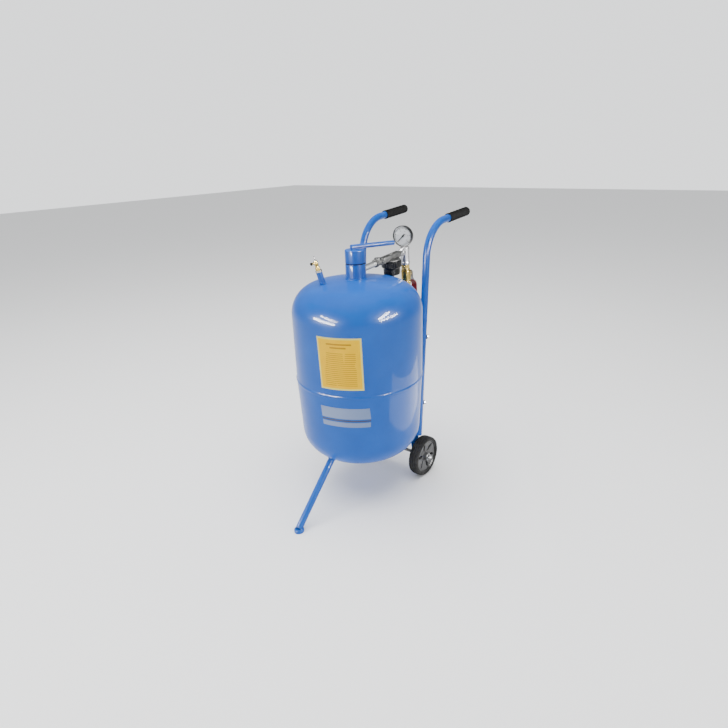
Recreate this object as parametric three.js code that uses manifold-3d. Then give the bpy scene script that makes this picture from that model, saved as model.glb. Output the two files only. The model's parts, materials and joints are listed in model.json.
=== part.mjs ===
// A wheeled pressure pot: a two-piece drawn steel tank on two wheels and one front leg, with a
// screw-plug filler neck, a relief and bleed fitting, and an air inlet line with a moisture trap,
// pressure gauge and ball valve. Millimetres, +Z up, +Y towards the grips. Left and right are as seen
// from the front, the leg's side, so right is +X. While it is built, the tank's axis is the Z axis.
import * as THREE from 'three';
import { mergeVertices } from 'three/addons/utils/BufferGeometryUtils.js';
import Module from 'manifold-3d';

const wasm = await Module();
wasm.setup();

// ---------------------------------------------------------------- driving dimensions
const gap = 0.3; // clearance left between pieces that touch

const tank = {
  radius: 180, wall: 3, knuckle: 80, headDepth: 90,
  seamZ: 371, shoulderZ: 556,
  lowerRadius: 173, lowerTangentZ: 217,
  lip: 12, segments: 36,
};
tank.topZ = tank.shoulderZ + tank.headDepth;
tank.bottomZ = tank.lowerTangentZ - tank.headDepth;

const neck = { radius: 27.4, bore: 21.5, topZ: 685, segments: 20 };
const plug = { gasket: 2.4, height: 35, spigotRadius: 20.8, spigot: 9, wall: 4 };
const capLever = { radius: 6.4, start: -12, end: 117, azimuth: 62 };

const relief = {
  x: -52, y: -76, tilt: 15, turn: 38, socketRadius: 8.4, socketLength: 34,
  nutHeight: 6, bodyHeight: 27, armHeight: 20, armReach: 10,
};

const frameTube = {
  radius: 10.5, bore: 8.6, x: 112, sides: 10,
  lean: 0.066, leanFromY: 144, leanFromZ: 152,
};
const handle = { bottomZ: 136, bendStartZ: 681, bendRadius: 100, gripRise: 4, end: 412 };
const grip = { radius: 13.5, length: 116, endWall: 2.5 };
const bracketHeights = { upper: 450, lower: 242 };

const wheel = { radius: 62.8, width: 33, x: 126, y: 149, rimRadius: 53, hubLength: 34, windows: 6, firstWindow: 15 };
const axle = { radius: 5, collarRadius: 8, plateX: 99.2, plate: 4 };

const leg = { radius: 9.6, bore: 7.8, footY: -291.6, topY: -147, topZ: 148, padRadius: 14, padHeight: 10 };

// The inlet line is built along its own axes and tilted up a little about the neck's port.
const line = {
  portZ: 664.8, tilt: 4.5, pipeRadius: 8.6, pipeBore: 6.2,
  checkY: 72, trapY: 140, columnY: 213, columnRadius: 13.5, teeTop: 11.5,
};
const trap = {
  headWidth: 19, headHeight: 17, collarRadius: 29.5, collarBottom: -28, bowlRadius: 24.5, bowlDepth: 52,
};
const gauge = { radius: 31.3, front: 14, depth: 18, centreZ: 45.8, turn: 8, needleZero: -45 };
const ballValve = { stemZ: -73, topZ: -41, bottomZ: -102, radius: 14.5, stemBore: 3.4, hoseRadius: 8.6 };
const lever = { reach: 28, crank: 16, crankFrom: -13, crankTo: -41, end: -92, width: 14, thickness: 2.8 };

// ---------------------------------------------------------------- materials
const paint = new THREE.MeshStandardMaterial({ color: 0x3f78c4, roughness: 0.28, metalness: 0.1 });
const rubber = new THREE.MeshStandardMaterial({ color: 0x1b1b1c, roughness: 0.85, metalness: 0 });
const tyreRubber = new THREE.MeshStandardMaterial({ color: 0x2a2a2a, roughness: 0.9, metalness: 0 });
const wheelPlastic = new THREE.MeshStandardMaterial({ color: 0x3a3a3c, roughness: 0.6, metalness: 0 });
const blackPlastic = new THREE.MeshStandardMaterial({ color: 0x141415, roughness: 0.45, metalness: 0 });
const brass = new THREE.MeshStandardMaterial({ color: 0xb08d4a, roughness: 0.35, metalness: 1 });
const steel = new THREE.MeshStandardMaterial({ color: 0x9a9c9e, roughness: 0.35, metalness: 1 });
const castZinc = new THREE.MeshStandardMaterial({ color: 0x8a8b88, roughness: 0.55, metalness: 0.8 });
const dialPaint = new THREE.MeshStandardMaterial({ color: 0xd9d9d6, roughness: 0.5, metalness: 0 });
const glass = new THREE.MeshStandardMaterial({
  color: 0xe8eef0, roughness: 0.05, metalness: 0, opacity: 0.3, transparent: true,
});
const redVinyl = new THREE.MeshStandardMaterial({ color: 0x9c1f26, roughness: 0.5, metalness: 0 });
const yellowFilm = new THREE.MeshStandardMaterial({ color: 0xf0c814, roughness: 0.5, metalness: 0 });
const silverFilm = new THREE.MeshStandardMaterial({ color: 0xb9c4d6, roughness: 0.4, metalness: 0.3 });

// ---------------------------------------------------------------- helpers
const radians = THREE.MathUtils.degToRad;
const up = new THREE.Vector3(0, 0, 1);

// A solid of revolution about Z from [radius, z] pairs, listed counterclockwise with radius to the right.
function turned(profile, segments = 14) {
  const points = profile.map(([r, z]) => new THREE.Vector2(r, z));
  if (profile[0][0] > 0) points.push(points[0].clone());
  return new THREE.LatheGeometry(points, segments).rotateX(Math.PI / 2);
}

// A cylinder along +Z from z = 0.
function rod(radius, length, segments = 12) {
  const cylinder = new THREE.CylinderGeometry(radius, radius, length, segments);
  return cylinder.rotateX(Math.PI / 2).translate(0, 0, length / 2);
}

// A hexagonal prism along +Z from z = 0, sized across its flats.
function hex(acrossFlats, length) {
  return rod(acrossFlats / Math.sqrt(3), length, 6);
}

function block(width, depth, height) {
  return new THREE.BoxGeometry(width, depth, height);
}

// A flat plate from [x, y] pairs in its own XY plane, from z = 0 up.
function plate(outline, thickness) {
  const shape = new THREE.Shape(outline.map(([x, y]) => new THREE.Vector2(x, y)));
  return new THREE.ExtrudeGeometry(shape, { depth: thickness, bevelEnabled: false });
}

// Stands a plate up: its outline's x becomes the model's Y, its y becomes Z, and it is centred on X.
function stood(outline, thickness) {
  const axes = new THREE.Matrix4().makeBasis(
    new THREE.Vector3(0, 1, 0), new THREE.Vector3(0, 0, 1), new THREE.Vector3(1, 0, 0));
  return plate(outline, thickness).applyMatrix4(axes).translate(-thickness / 2, 0, 0);
}

function solid(geometry) {
  const bare = geometry.index ? geometry.toNonIndexed() : geometry.clone();
  bare.deleteAttribute('normal');
  bare.deleteAttribute('uv');
  const merged = mergeVertices(bare, 1e-3);
  const vertProperties = merged.attributes.position.array;
  const triVerts = new Uint32Array(merged.index.array);
  return new wasm.Manifold(new wasm.Mesh({ numProp: 3, vertProperties, triVerts }));
}

function geometryOf(manifold) {
  const mesh = manifold.getMesh();
  const geometry = new THREE.BufferGeometry();
  geometry.setAttribute('position', new THREE.BufferAttribute(new Float32Array(mesh.vertProperties), 3));
  geometry.setIndex(new THREE.BufferAttribute(new Uint32Array(mesh.triVerts), 1));
  geometry.computeVertexNormals();
  return geometry;
}

function joined(...geometries) {
  return geometryOf(geometries.map(solid).reduce((whole, piece) => whole.add(piece)));
}

function cut(geometry, ...tools) {
  return geometryOf(tools.map(solid).reduce((whole, tool) => whole.subtract(tool), solid(geometry)));
}

function piece(name, geometry, material) {
  const mesh = new THREE.Mesh(geometry, material);
  mesh.name = name;
  return mesh;
}

// Stands a +Z piece on a point, pointing along a direction.
function aimed(object, from, direction) {
  object.position.copy(from);
  object.quaternion.setFromUnitVectors(up, direction.clone().normalize());
  return object;
}

// ---------------------------------------------------------------- tank
const crownRadius = (radius, knuckle, depth) =>
  ((radius - knuckle) ** 2 + depth ** 2 - knuckle ** 2) / (2 * (depth - knuckle));

// A dished head's outline from its rim to the edge of a central hole, above z0 (side 1) or below it (-1).
function headProfile(radius, knuckle, depth, z0, side, hole, knuckleSteps = 4, crownSteps = 2) {
  const crown = crownRadius(radius, knuckle, depth);
  const meet = Math.atan2(radius - knuckle, crown - depth);
  const points = [];
  for (let i = 0; i <= knuckleSteps; i++) {
    const a = (Math.PI / 2 - meet) * (i / knuckleSteps);
    points.push([radius - knuckle + knuckle * Math.cos(a), z0 + side * knuckle * Math.sin(a)]);
  }
  const holeAngle = Math.asin(hole / crown);
  for (let i = 1; i <= crownSteps; i++) {
    const a = meet + (holeAngle - meet) * (i / crownSteps);
    points.push([crown * Math.sin(a), z0 + side * (depth - crown + crown * Math.cos(a))]);
  }
  return points;
}

// The tank's outside as one plain solid, a little larger, for trimming what is welded on to it.
const tankEnvelope = (() => {
  const grow = 0.6;
  const { radius, lowerRadius, seamZ, shoulderZ, lowerTangentZ, topZ, bottomZ, segments } = tank;
  const knuckle = tank.knuckle + grow;
  const depth = tank.headDepth + grow;
  const lower = headProfile(lowerRadius + grow, knuckle, depth, lowerTangentZ, -1, 1).reverse();
  const upper = headProfile(radius + grow, knuckle, depth, shoulderZ, 1, 1);
  return turned([[0, bottomZ - 1], ...lower, [radius + grow, seamZ], ...upper, [0, topZ + 1]], segments);
})();

const reliefAxis = (() => {
  const outward = new THREE.Vector3(relief.x, relief.y, 0).normalize();
  const tilt = radians(relief.tilt);
  return outward.multiplyScalar(Math.sin(tilt)).add(new THREE.Vector3(0, 0, Math.cos(tilt)));
})();

const reliefBase = (() => {
  const crown = crownRadius(tank.radius, tank.knuckle, tank.headDepth);
  const reach = Math.hypot(relief.x, relief.y);
  return new THREE.Vector3(relief.x, relief.y, tank.topZ - crown + Math.sqrt(crown ** 2 - reach ** 2));
})();

function upperShell() {
  const { radius, wall, knuckle, headDepth, shoulderZ, seamZ } = tank;
  const hole = neck.radius + 0.5;
  const edge = seamZ + 1.5;
  const outer = headProfile(radius, knuckle, headDepth, shoulderZ, 1, hole);
  const inner = headProfile(radius - wall, knuckle - wall, headDepth - wall, shoulderZ, 1, hole).reverse();
  const shell = turned([[radius, edge], ...outer, ...inner, [radius - wall, edge]], tank.segments);
  const drill = rod(relief.socketRadius + gap + 0.2, 40).translate(0, 0, -20);
  const holder = aimed(new THREE.Object3D(), reliefBase, reliefAxis);
  holder.updateMatrixWorld();
  return cut(shell, drill.applyMatrix4(holder.matrixWorld));
}

function lowerShell() {
  const { radius, wall, knuckle, headDepth, lowerRadius, lowerTangentZ, seamZ, lip } = tank;
  const hole = 11.5;
  const outer = headProfile(lowerRadius, knuckle, headDepth, lowerTangentZ, -1, hole).reverse();
  const inner = headProfile(lowerRadius - wall, knuckle - wall, headDepth - wall, lowerTangentZ, -1, hole);
  const lipOuter = radius - wall - 0.6;
  return turned([
    ...outer,
    [radius, seamZ - 1.5],
    [lipOuter, seamZ - 1.5],
    [lipOuter, seamZ + lip],
    [lipOuter - wall, seamZ + lip],
    [lipOuter - wall, seamZ],
    [radius - wall, seamZ - 9],
    ...inner,
  ], tank.segments);
}

function girthWeld() {
  const root = tank.radius - tank.wall - 0.1;
  const face = tank.radius + 0.4;
  const z = tank.seamZ;
  return turned([
    [root, z - 1.2], [face, z - 1.2], [face, z - 4], [face + 1.8, z - 1.5],
    [face + 1.8, z + 1.5], [face, z + 4], [face, z + 1.2], [root, z + 1.2],
  ], tank.segments);
}

// A thin sheet lying on the tank wall, between two angles measured from -Y towards +X.
function wallSheet(fromAngle, toAngle, fromZ, toZ) {
  const thickness = 0.6;
  const margin = 5;
  const inner = tank.radius + 0.45;
  const profile = [[inner, fromZ], [inner + thickness, fromZ], [inner + thickness, toZ], [inner, toZ]];
  const ring = turned(profile, tank.segments);
  const reach = tank.radius * 2;
  const middle = radians((fromAngle + toAngle) / 2 - 90);
  const half = radians((toAngle - fromAngle) / 2);
  const wedge = plate([
    [0, 0],
    [reach * Math.cos(middle - half), reach * Math.sin(middle - half)],
    [reach * Math.cos(middle), reach * Math.sin(middle)],
    [reach * Math.cos(middle + half), reach * Math.sin(middle + half)],
  ], toZ - fromZ + 2 * margin).translate(0, 0, fromZ - margin);
  return geometryOf(solid(ring).intersect(solid(wedge)));
}

function fillerNeck() {
  const { radius, bore, topZ, segments } = neck;
  const foot = tank.topZ;
  const pipe = turned([
    [bore, foot - 4.5], [radius, foot - 4.5], [radius, foot], [radius + 3.8, foot],
    [radius + 2.8, foot + 2.4], [radius, foot + 4.6], [radius, topZ], [bore, topZ],
  ], segments);
  const port = rod(line.pipeRadius + gap + 0.3, 30).rotateX(-Math.PI / 2).translate(0, -15, 0)
    .rotateX(radians(line.tilt)).translate(0, neck.radius, line.portZ);
  return cut(pipe, port);
}

function tankGroup() {
  const group = new THREE.Group();
  group.add(piece('upper_shell', upperShell(), paint));
  group.add(piece('lower_shell', lowerShell(), paint));
  group.add(piece('girth_weld', girthWeld(), paint));
  group.add(piece('filler_neck', fillerNeck(), paint));
  const drainZ = tank.bottomZ;
  const boss = turned([[7.3, drainZ - 11], [11, drainZ - 11], [11, drainZ + 5], [7.3, drainZ + 5]], 16);
  group.add(piece('drain_boss', boss, paint));
  const plugBody = joined(
    rod(7, 12, 16).translate(0, 0, drainZ - 11.5),
    hex(17, 8).translate(0, 0, drainZ - 19.3));
  group.add(piece('drain_plug', plugBody, brass));
  group.add(piece('caution_label', wallSheet(3, 42, 394, 535), yellowFilm));
  const stripes = joined(
    wallSheet(2, 48, 308, 342),
    wallSheet(22, 28, 294, 310),
    wallSheet(2, 48, 284, 296));
  group.add(piece('stripe_decal', stripes, silverFilm));
  return group;
}

// ---------------------------------------------------------------- screw plug in the filler neck
const plugBottomZ = neck.topZ + plug.gasket + 2 * gap;
const plugTopZ = plugBottomZ + plug.height;

function plugGroup() {
  const group = new THREE.Group();
  const { spigotRadius, spigot, wall } = plug;
  const outer = neck.radius;
  const gasket = turned([
    [spigotRadius + 0.5, neck.topZ + gap], [outer - 0.9, neck.topZ + gap],
    [outer - 0.9, plugBottomZ - gap], [spigotRadius + 0.5, plugBottomZ - gap],
  ], neck.segments);
  group.add(piece('cap_gasket', gasket, rubber));
  const cap = turned([
    [0, plugTopZ - 8], [spigotRadius - wall, plugTopZ - 8], [spigotRadius - wall, neck.topZ - spigot],
    [spigotRadius, neck.topZ - spigot], [spigotRadius, plugBottomZ], [outer, plugBottomZ],
    [outer, plugTopZ - 1.2], [outer - 1.2, plugTopZ], [0, plugTopZ],
  ], neck.segments);
  group.add(piece('fill_cap', cap, paint));
  const { radius, start, end, azimuth } = capLever;
  const length = end - start;
  const bar = turned([
    [0, 0], [radius - 1, 0], [radius, 1], [radius, length - 3], [radius - 2.4, length - 0.6], [0, length],
  ], 14);
  const lever = piece('cap_lever', bar, paint);
  const direction = new THREE.Vector3(Math.cos(radians(azimuth)), Math.sin(radians(azimuth)), 0);
  const foot = direction.clone().multiplyScalar(start);
  foot.z = plugTopZ + radius + gap;
  group.add(aimed(lever, foot, direction));
  return group;
}

// ---------------------------------------------------------------- relief and bleed fitting on the dome
function reliefGroup() {
  const group = aimed(new THREE.Group(), reliefBase, reliefAxis);
  const { socketRadius, socketLength, nutHeight, bodyHeight, armHeight, armReach } = relief;
  const nutTop = socketLength + nutHeight;
  const bodyTop = nutTop + bodyHeight;
  const armZ = nutTop + armHeight;
  const socket = turned([
    [4, -3], [socketRadius, -3], [socketRadius, socketLength], [4, socketLength],
  ], 14);
  group.add(piece('relief_socket', socket, paint));
  const nutBore = rod(4.4, 12).translate(0, 0, socketLength - 3);
  const nut = cut(hex(17, nutHeight - 1).translate(0, 0, socketLength + gap), nutBore);
  group.add(piece('relief_nut', nut, steel));
  const arm = turned([[0, 0], [3.4, 0], [3.4, armReach - 3.5], [2.6, armReach], [0, armReach]], 12);
  const barrel = turned([
    [0, nutTop + 7], [5.4, nutTop + 7], [5, nutTop + 12], [5.8, nutTop + 15], [5.8, bodyTop - 4],
    [4.6, bodyTop - 1], [0, bodyTop - 1],
  ], 14);
  const body = cut(
    joined(
      rod(3.6, nutHeight + 8).translate(0, 0, socketLength - 6),
      hex(12, 8).translate(0, 0, nutTop),
      barrel,
      arm.rotateY(-Math.PI / 2).translate(0, 0, armZ)),
    rod(1.5, 12, 10).translate(0, 0, bodyTop - 9));
  const reliefBody = piece('relief_body', body, brass);
  const eye = new THREE.TorusGeometry(4, 1.35, 6, 10).rotateY(Math.PI / 2);
  const spindle = joined(
    rod(1.1, 12, 10).translate(0, 0, bodyTop - 8),
    rod(3, 2.2, 10).translate(0, 0, bodyTop - 1 + gap),
    eye.translate(0, 0, bodyTop + 6.2));
  const ring = piece('relief_ring', spindle, steel);
  const knob = turned([[0, 0], [3.6, 0], [4, 1], [4, 4.6], [3, 5.6], [0, 5.6]], 12).rotateY(-Math.PI / 2);
  const bleed = piece('bleed_screw', knob, blackPlastic);
  bleed.position.set(-armReach - gap, 0, armZ);
  // The arm points to the side of the dome that faces away from the wheels.
  const turn = new THREE.Group();
  turn.rotation.z = radians(relief.turn);
  turn.add(reliefBody, ring, bleed);
  group.add(turn);
  return group;
}

// ---------------------------------------------------------------- handle tubes, grips and their brackets
const tubeY = (z) => frameTube.leanFromY + frameTube.lean * (z - frameTube.leanFromZ);

// The tube's centre line in the Y-Z plane: a straight run, one bend and a straight end. Its parameter
// gives each straight run one step, so that nearly all of the sweep's steps lie in the bend.
class HandlePath extends THREE.Curve {
  constructor(endY) {
    super();
    const start = Math.atan(1 / frameTube.lean);
    const finish = radians(handle.gripRise);
    this.start = start;
    this.finish = finish;
    this.endY = endY;
    this.bendFrom = new THREE.Vector2(tubeY(handle.bendStartZ), handle.bendStartZ);
    this.centre = new THREE.Vector2(
      this.bendFrom.x + handle.bendRadius * Math.sin(start),
      this.bendFrom.y - handle.bendRadius * Math.cos(start));
  }

  onBend(heading) {
    return new THREE.Vector2(
      this.centre.x - handle.bendRadius * Math.sin(heading),
      this.centre.y + handle.bendRadius * Math.cos(heading));
  }

  getPoint(t) {
    const straight = HandlePath.straightShare;
    let p;
    if (t < straight) {
      const z = handle.bottomZ + (handle.bendStartZ - handle.bottomZ) * (t / straight);
      p = new THREE.Vector2(tubeY(z), z);
    } else if (t <= 1 - straight) {
      const s = (t - straight) / (1 - 2 * straight);
      p = this.onBend(this.start + (this.finish - this.start) * s);
    } else {
      const bendEnd = this.onBend(this.finish);
      const s = (t - 1 + straight) / straight;
      const run = (this.endY - bendEnd.x) * s;
      p = new THREE.Vector2(bendEnd.x + run, bendEnd.y + run * Math.tan(this.finish));
    }
    return new THREE.Vector3(0, p.x, p.y);
  }

  getSpacedPoints(divisions) {
    return this.getPoints(divisions);
  }

  getTangentAt(u) {
    return this.getTangent(u);
  }
}
HandlePath.steps = 9;
HandlePath.straightShare = 1 / HandlePath.steps;

function ringShape(outer, inner, sides) {
  const circle = (radius) => {
    const path = new THREE.Path();
    for (let i = 0; i <= sides; i++) {
      const a = (2 * Math.PI * i) / sides;
      const x = radius * Math.cos(a);
      const y = radius * Math.sin(a);
      if (i === 0) path.moveTo(x, y);
      else path.lineTo(x, y);
    }
    return path;
  };
  const shape = new THREE.Shape(circle(outer).getPoints());
  if (inner > 0) shape.holes.push(circle(inner));
  return shape;
}

// A bracket's frame: its own +Z points out from the tank's axis to the tube, and its own +Y points up.
function bracketFrame(z) {
  const outward = new THREE.Vector3(frameTube.x, tubeY(z), 0);
  const reach = outward.length();
  outward.normalize();
  const matrix = new THREE.Matrix4().makeBasis(up.clone().cross(outward), up, outward);
  return { matrix: matrix.setPosition(0, 0, z), reach };
}

function handleTube() {
  const path = new HandlePath(handle.end - grip.endWall - 1);
  const shape = ringShape(frameTube.radius, frameTube.bore, frameTube.sides);
  const options = { steps: HandlePath.steps, extrudePath: path, bevelEnabled: false };
  const sweep = new THREE.ExtrudeGeometry(shape, options);
  const drills = Object.values(bracketHeights).map((z) => {
    const { matrix, reach } = bracketFrame(z);
    return rod(3.6, 60, 10).translate(0, 0, reach - 30).applyMatrix4(matrix).translate(-frameTube.x, 0, 0);
  });
  return cut(sweep, ...drills);
}

function handleSide(side, name) {
  const group = new THREE.Group();
  const tube = piece(`handle_tube_${name}`, handleTube(), paint);
  tube.position.x = side * frameTube.x;
  if (side < 0) tube.scale.x = -1;
  group.add(tube);

  const rise = radians(handle.gripRise);
  const path = new HandlePath(handle.end);
  const tip = path.getPoint(1);
  const { radius, length, endWall } = grip;
  const inner = frameTube.radius + 2 * gap;
  const sleeve = turned([
    [inner, -length], [radius - 0.6, -length], [radius, -length + 2], [radius, -4], [radius - 1.6, -1],
    [radius - 5, 1.5], [0, 1.5], [0, 1.5 - endWall], [inner, 1.5 - endWall],
  ], 14);
  const gripPiece = piece(`grip_${name}`, sleeve, rubber);
  const along = new THREE.Vector3(0, Math.cos(rise), Math.sin(rise));
  group.add(aimed(gripPiece, new THREE.Vector3(side * frameTube.x, tip.y, tip.z), along));

  const tubeLine = new THREE.Vector3(0, frameTube.lean, 1);
  const tubeRoom = aimed(new THREE.Object3D(), new THREE.Vector3(frameTube.x, tubeY(100), 100), tubeLine);
  tubeRoom.updateMatrixWorld();
  for (const [level, z] of Object.entries(bracketHeights)) {
    const { matrix, reach } = bracketFrame(z);
    const seat = reach - frameTube.radius;
    const bracket = cut(
      block(26, 44, 16).translate(0, 0, seat - 5).applyMatrix4(matrix),
      rod(3.6, 40, 10).translate(0, 0, seat - 30).applyMatrix4(matrix),
      rod(frameTube.radius + gap + 0.3, 500, 16).applyMatrix4(tubeRoom.matrixWorld),
      tankEnvelope);
    const face = reach + frameTube.radius + 0.8;
    const bolt = joined(
      rod(3.1, 2 * frameTube.radius + 3, 10).translate(0, 0, seat - 1),
      rod(7, 1.4, 14).translate(0, 0, face),
      hex(10, 5).translate(0, 0, face + 1.3));
    const pieces = [
      piece(`tube_bracket_${level}_${name}`, bracket, paint),
      piece(`bracket_bolt_${level}_${name}`, bolt.applyMatrix4(matrix), steel),
    ];
    for (const part of pieces) {
      if (side < 0) part.scale.x = -1;
      group.add(part);
    }
  }
  return group;
}

// ---------------------------------------------------------------- axle and wheels
// The bracket's outline from the axle up to the tank and the handle tube, as [y, z] pairs.
function axleBracket() {
  const lobe = 15;
  const steps = 8;
  const outline = [];
  for (let i = 0; i <= steps; i++) {
    const a = Math.PI * (1 + i / steps);
    outline.push([wheel.y + lobe * Math.cos(a), wheel.radius + lobe * Math.sin(a)]);
  }
  outline.push([161, 150], [158, 205], [130, 205], [110, 150]);
  return stood(outline, axle.plate);
}

function wheelSide(side, name) {
  const group = new THREE.Group();
  group.position.set(side * wheel.x, wheel.y, wheel.radius);
  // Every wheel piece is turned about its own +Z, which points away from the tank.
  group.rotation.y = side * Math.PI / 2;
  const half = wheel.width / 2;
  const { radius, rimRadius, hubLength, windows, firstWindow } = wheel;
  const window = [[17, -2], [34, -6], [46, -1.6], [46, 1.6], [34, 6], [17, 2]];
  const tyre = turned([
    [rimRadius, -half + 1], [radius - 6, -half], [radius - 2, -half + 3], [radius, -half + 8],
    [radius, half - 8], [radius - 2, half - 3], [radius - 6, half], [rimRadius, half - 1],
  ], 24);
  group.add(piece(`tyre_${name}`, tyre, tyreRubber));
  const rimOut = rimRadius - gap - 0.2;
  const bore = 8.4;
  const disc = turned([
    [bore, -hubLength / 2], [13, -hubLength / 2], [14, 1], [rimOut - 6, 6], [rimOut - 4, 3 - half],
    [rimOut, 3 - half], [rimOut, half - 3], [rimOut - 3, half - 3], [rimOut - 5, 11], [14, 6],
    [13, hubLength / 2], [bore, hubLength / 2],
  ], 24);
  const openings = [];
  for (let i = 0; i < windows; i++) {
    const turn = radians(firstWindow + (360 * i) / windows);
    openings.push(plate(window, 20).translate(0, 0, -5).rotateZ(turn));
  }
  group.add(piece(`rim_${name}`, cut(disc, ...openings), wheelPlastic));
  const bush = turned([
    [axle.radius + 0.5, -hubLength / 2], [bore - gap, -hubLength / 2], [bore - gap, hubLength / 2],
    [axle.radius + 0.5, hubLength / 2],
  ], 16);
  group.add(piece(`bush_${name}`, bush, brass));
  const nutBase = hubLength / 2 + 0.5;
  const dome = turned([[0, 7], [6.6, 7], [5.6, 10.5], [3, 13], [0, 13.6]], 12);
  const nut = cut(
    joined(
      rod(11, 2, 16).translate(0, 0, nutBase),
      hex(15, 6).translate(0, 0, nutBase + 1.8),
      dome.translate(0, 0, nutBase)),
    rod(axle.radius + gap, 10).translate(0, 0, nutBase - 2));
  group.add(piece(`hub_nut_${name}`, nut, steel));
  return group;
}

function axleRod() {
  const inner = axle.plateX + axle.plate / 2 + 0.4;
  const outer = wheel.x - wheel.hubLength / 2 - 0.4;
  const end = wheel.x + wheel.hubLength / 2 + 7.5;
  const { radius, collarRadius } = axle;
  const rodShape = turned([
    [0, -end], [radius, -end], [radius, -outer], [collarRadius, -outer], [collarRadius, -inner],
    [radius, -inner], [radius, inner], [collarRadius, inner], [collarRadius, outer], [radius, outer],
    [radius, end], [0, end],
  ], 12);
  const made = piece('axle_rod', rodShape, steel);
  made.rotation.y = Math.PI / 2;
  made.position.set(0, wheel.y, wheel.radius);
  return made;
}

function runningGear() {
  const group = new THREE.Group();
  group.add(axleRod());
  for (const [side, name] of [[1, 'right'], [-1, 'left']]) {
    const plateAt = axleBracket().translate(side * axle.plateX, 0, 0);
    const hole = rod(axle.radius + 0.4, 400).rotateY(Math.PI / 2).translate(-200, wheel.y, wheel.radius);
    group.add(piece(`axle_bracket_${name}`, cut(plateAt, hole, tankEnvelope), paint));
    group.add(wheelSide(side, name));
  }
  return group;
}

// ---------------------------------------------------------------- front leg
function legGroup() {
  const group = new THREE.Group();
  const foot = new THREE.Vector3(0, leg.footY, leg.padHeight);
  const top = new THREE.Vector3(0, leg.topY, leg.topZ);
  const direction = top.clone().sub(foot).normalize();
  const spare = 20; // extra tube at each end, trimmed by the ground and the tank
  const holder = aimed(new THREE.Object3D(), foot.clone().addScaledVector(direction, -spare), direction);
  holder.updateMatrixWorld();
  const length = foot.distanceTo(top) + 2 * spare + 10;
  const tube = turned([[leg.bore, 0], [leg.radius, 0], [leg.radius, length], [leg.bore, length]], 14);
  const ground = block(80, 80, 60).translate(0, leg.footY, leg.padHeight + gap - 30);
  group.add(piece('front_leg', cut(tube.applyMatrix4(holder.matrixWorld), ground, tankEnvelope), paint));
  const { padRadius, padHeight } = leg;
  const pad = turned([
    [0, 0], [padRadius, 0], [padRadius, padHeight - 2.5], [padRadius - 3, padHeight], [0, padHeight],
  ], 18);
  const padPiece = piece('foot_pad', pad, paint);
  padPiece.position.y = leg.footY;
  group.add(padPiece);
  return group;
}

// ---------------------------------------------------------------- air inlet line
// A pipe or fitting turned about the line's own Y axis, from [radius, y] pairs.
function turnedAlongY(profile, segments = 12) {
  return turned(profile, segments).rotateX(-Math.PI / 2);
}

function checkValve() {
  const { pipeBore, checkY } = line;
  const from = checkY - 15;
  const to = checkY + 20;
  return cut(
    joined(
      hex(21, 12).rotateX(-Math.PI / 2).translate(0, from + gap, 0),
      turnedAlongY([[0, from + 6], [9.6, from + 6], [9.6, to - 8], [0, to - 8]]),
      hex(21, 10).rotateX(-Math.PI / 2).translate(0, to - 10, 0),
      rod(8, 10).translate(0, checkY, 0),
      hex(16, 4.5).translate(0, checkY, 9)),
    rod(pipeBore, to - from + 4, 12).rotateX(-Math.PI / 2).translate(0, from - 2, 0));
}

// The moisture trap: a cast head on the line, a bowl screwed up under it, a filter and a drain cock.
function trapParts(group, headFrom, headTo) {
  const { headWidth, headHeight, collarRadius, collarBottom, bowlRadius, bowlDepth } = trap;
  const { trapY } = line;
  const across = headWidth / 2;
  const tall = headHeight / 2;
  const edge = 3;
  const bar = plate([
    [-across, edge - tall], [edge - across, -tall], [across - edge, -tall], [across, edge - tall],
    [across, tall - edge], [across - edge, tall], [edge - across, tall], [-across, tall - edge],
  ], headTo - headFrom).rotateX(-Math.PI / 2).translate(0, headFrom, 0);
  const seatZ = -tall - 1;
  const head = cut(
    joined(bar, rod(collarRadius - 2.5, 5, 20).translate(0, trapY, seatZ)),
    rod(5, headTo - headFrom + 4, 12).rotateX(-Math.PI / 2).translate(0, headFrom - 2, 0),
    rod(8, 12, 14).translate(0, trapY, seatZ - 2));
  group.add(piece('trap_head', head, castZinc));

  const bowlTop = seatZ - gap;
  const stack = new THREE.Group();
  stack.position.y = trapY;
  group.add(stack);
  const bowl = turned([
    [4.4, -bowlDepth], [bowlRadius - 3, -bowlDepth], [bowlRadius, 3 - bowlDepth],
    [bowlRadius, collarBottom - 2.5], [collarRadius - 1.5, collarBottom - 1.5], [collarRadius, collarBottom],
    [collarRadius, bowlTop - 2], [collarRadius - 1.4, bowlTop],
    [bowlRadius + 1.5, bowlTop], [bowlRadius + 1.5, collarBottom + 0.5], [bowlRadius - 3, collarBottom - 2.5],
    [bowlRadius - 3, 3 - bowlDepth], [4.4, 3 - bowlDepth],
  ], 18);
  stack.add(piece('trap_bowl', bowl, blackPlastic));
  const element = turned([[4.6, -36], [12, -36], [12, bowlTop - 2], [4.6, bowlTop - 2]], 14);
  stack.add(piece('trap_element', element, dialPaint));
  const cock = joined(
    rod(4, 10, 12).translate(0, 0, -bowlDepth - 4),
    rod(6.5, 3.6, 14).translate(0, 0, -bowlDepth - 4.2),
    block(13, 3.2, 5).translate(0, 0, -bowlDepth - 6));
  stack.add(piece('drain_cock', cock, blackPlastic));
}

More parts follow.
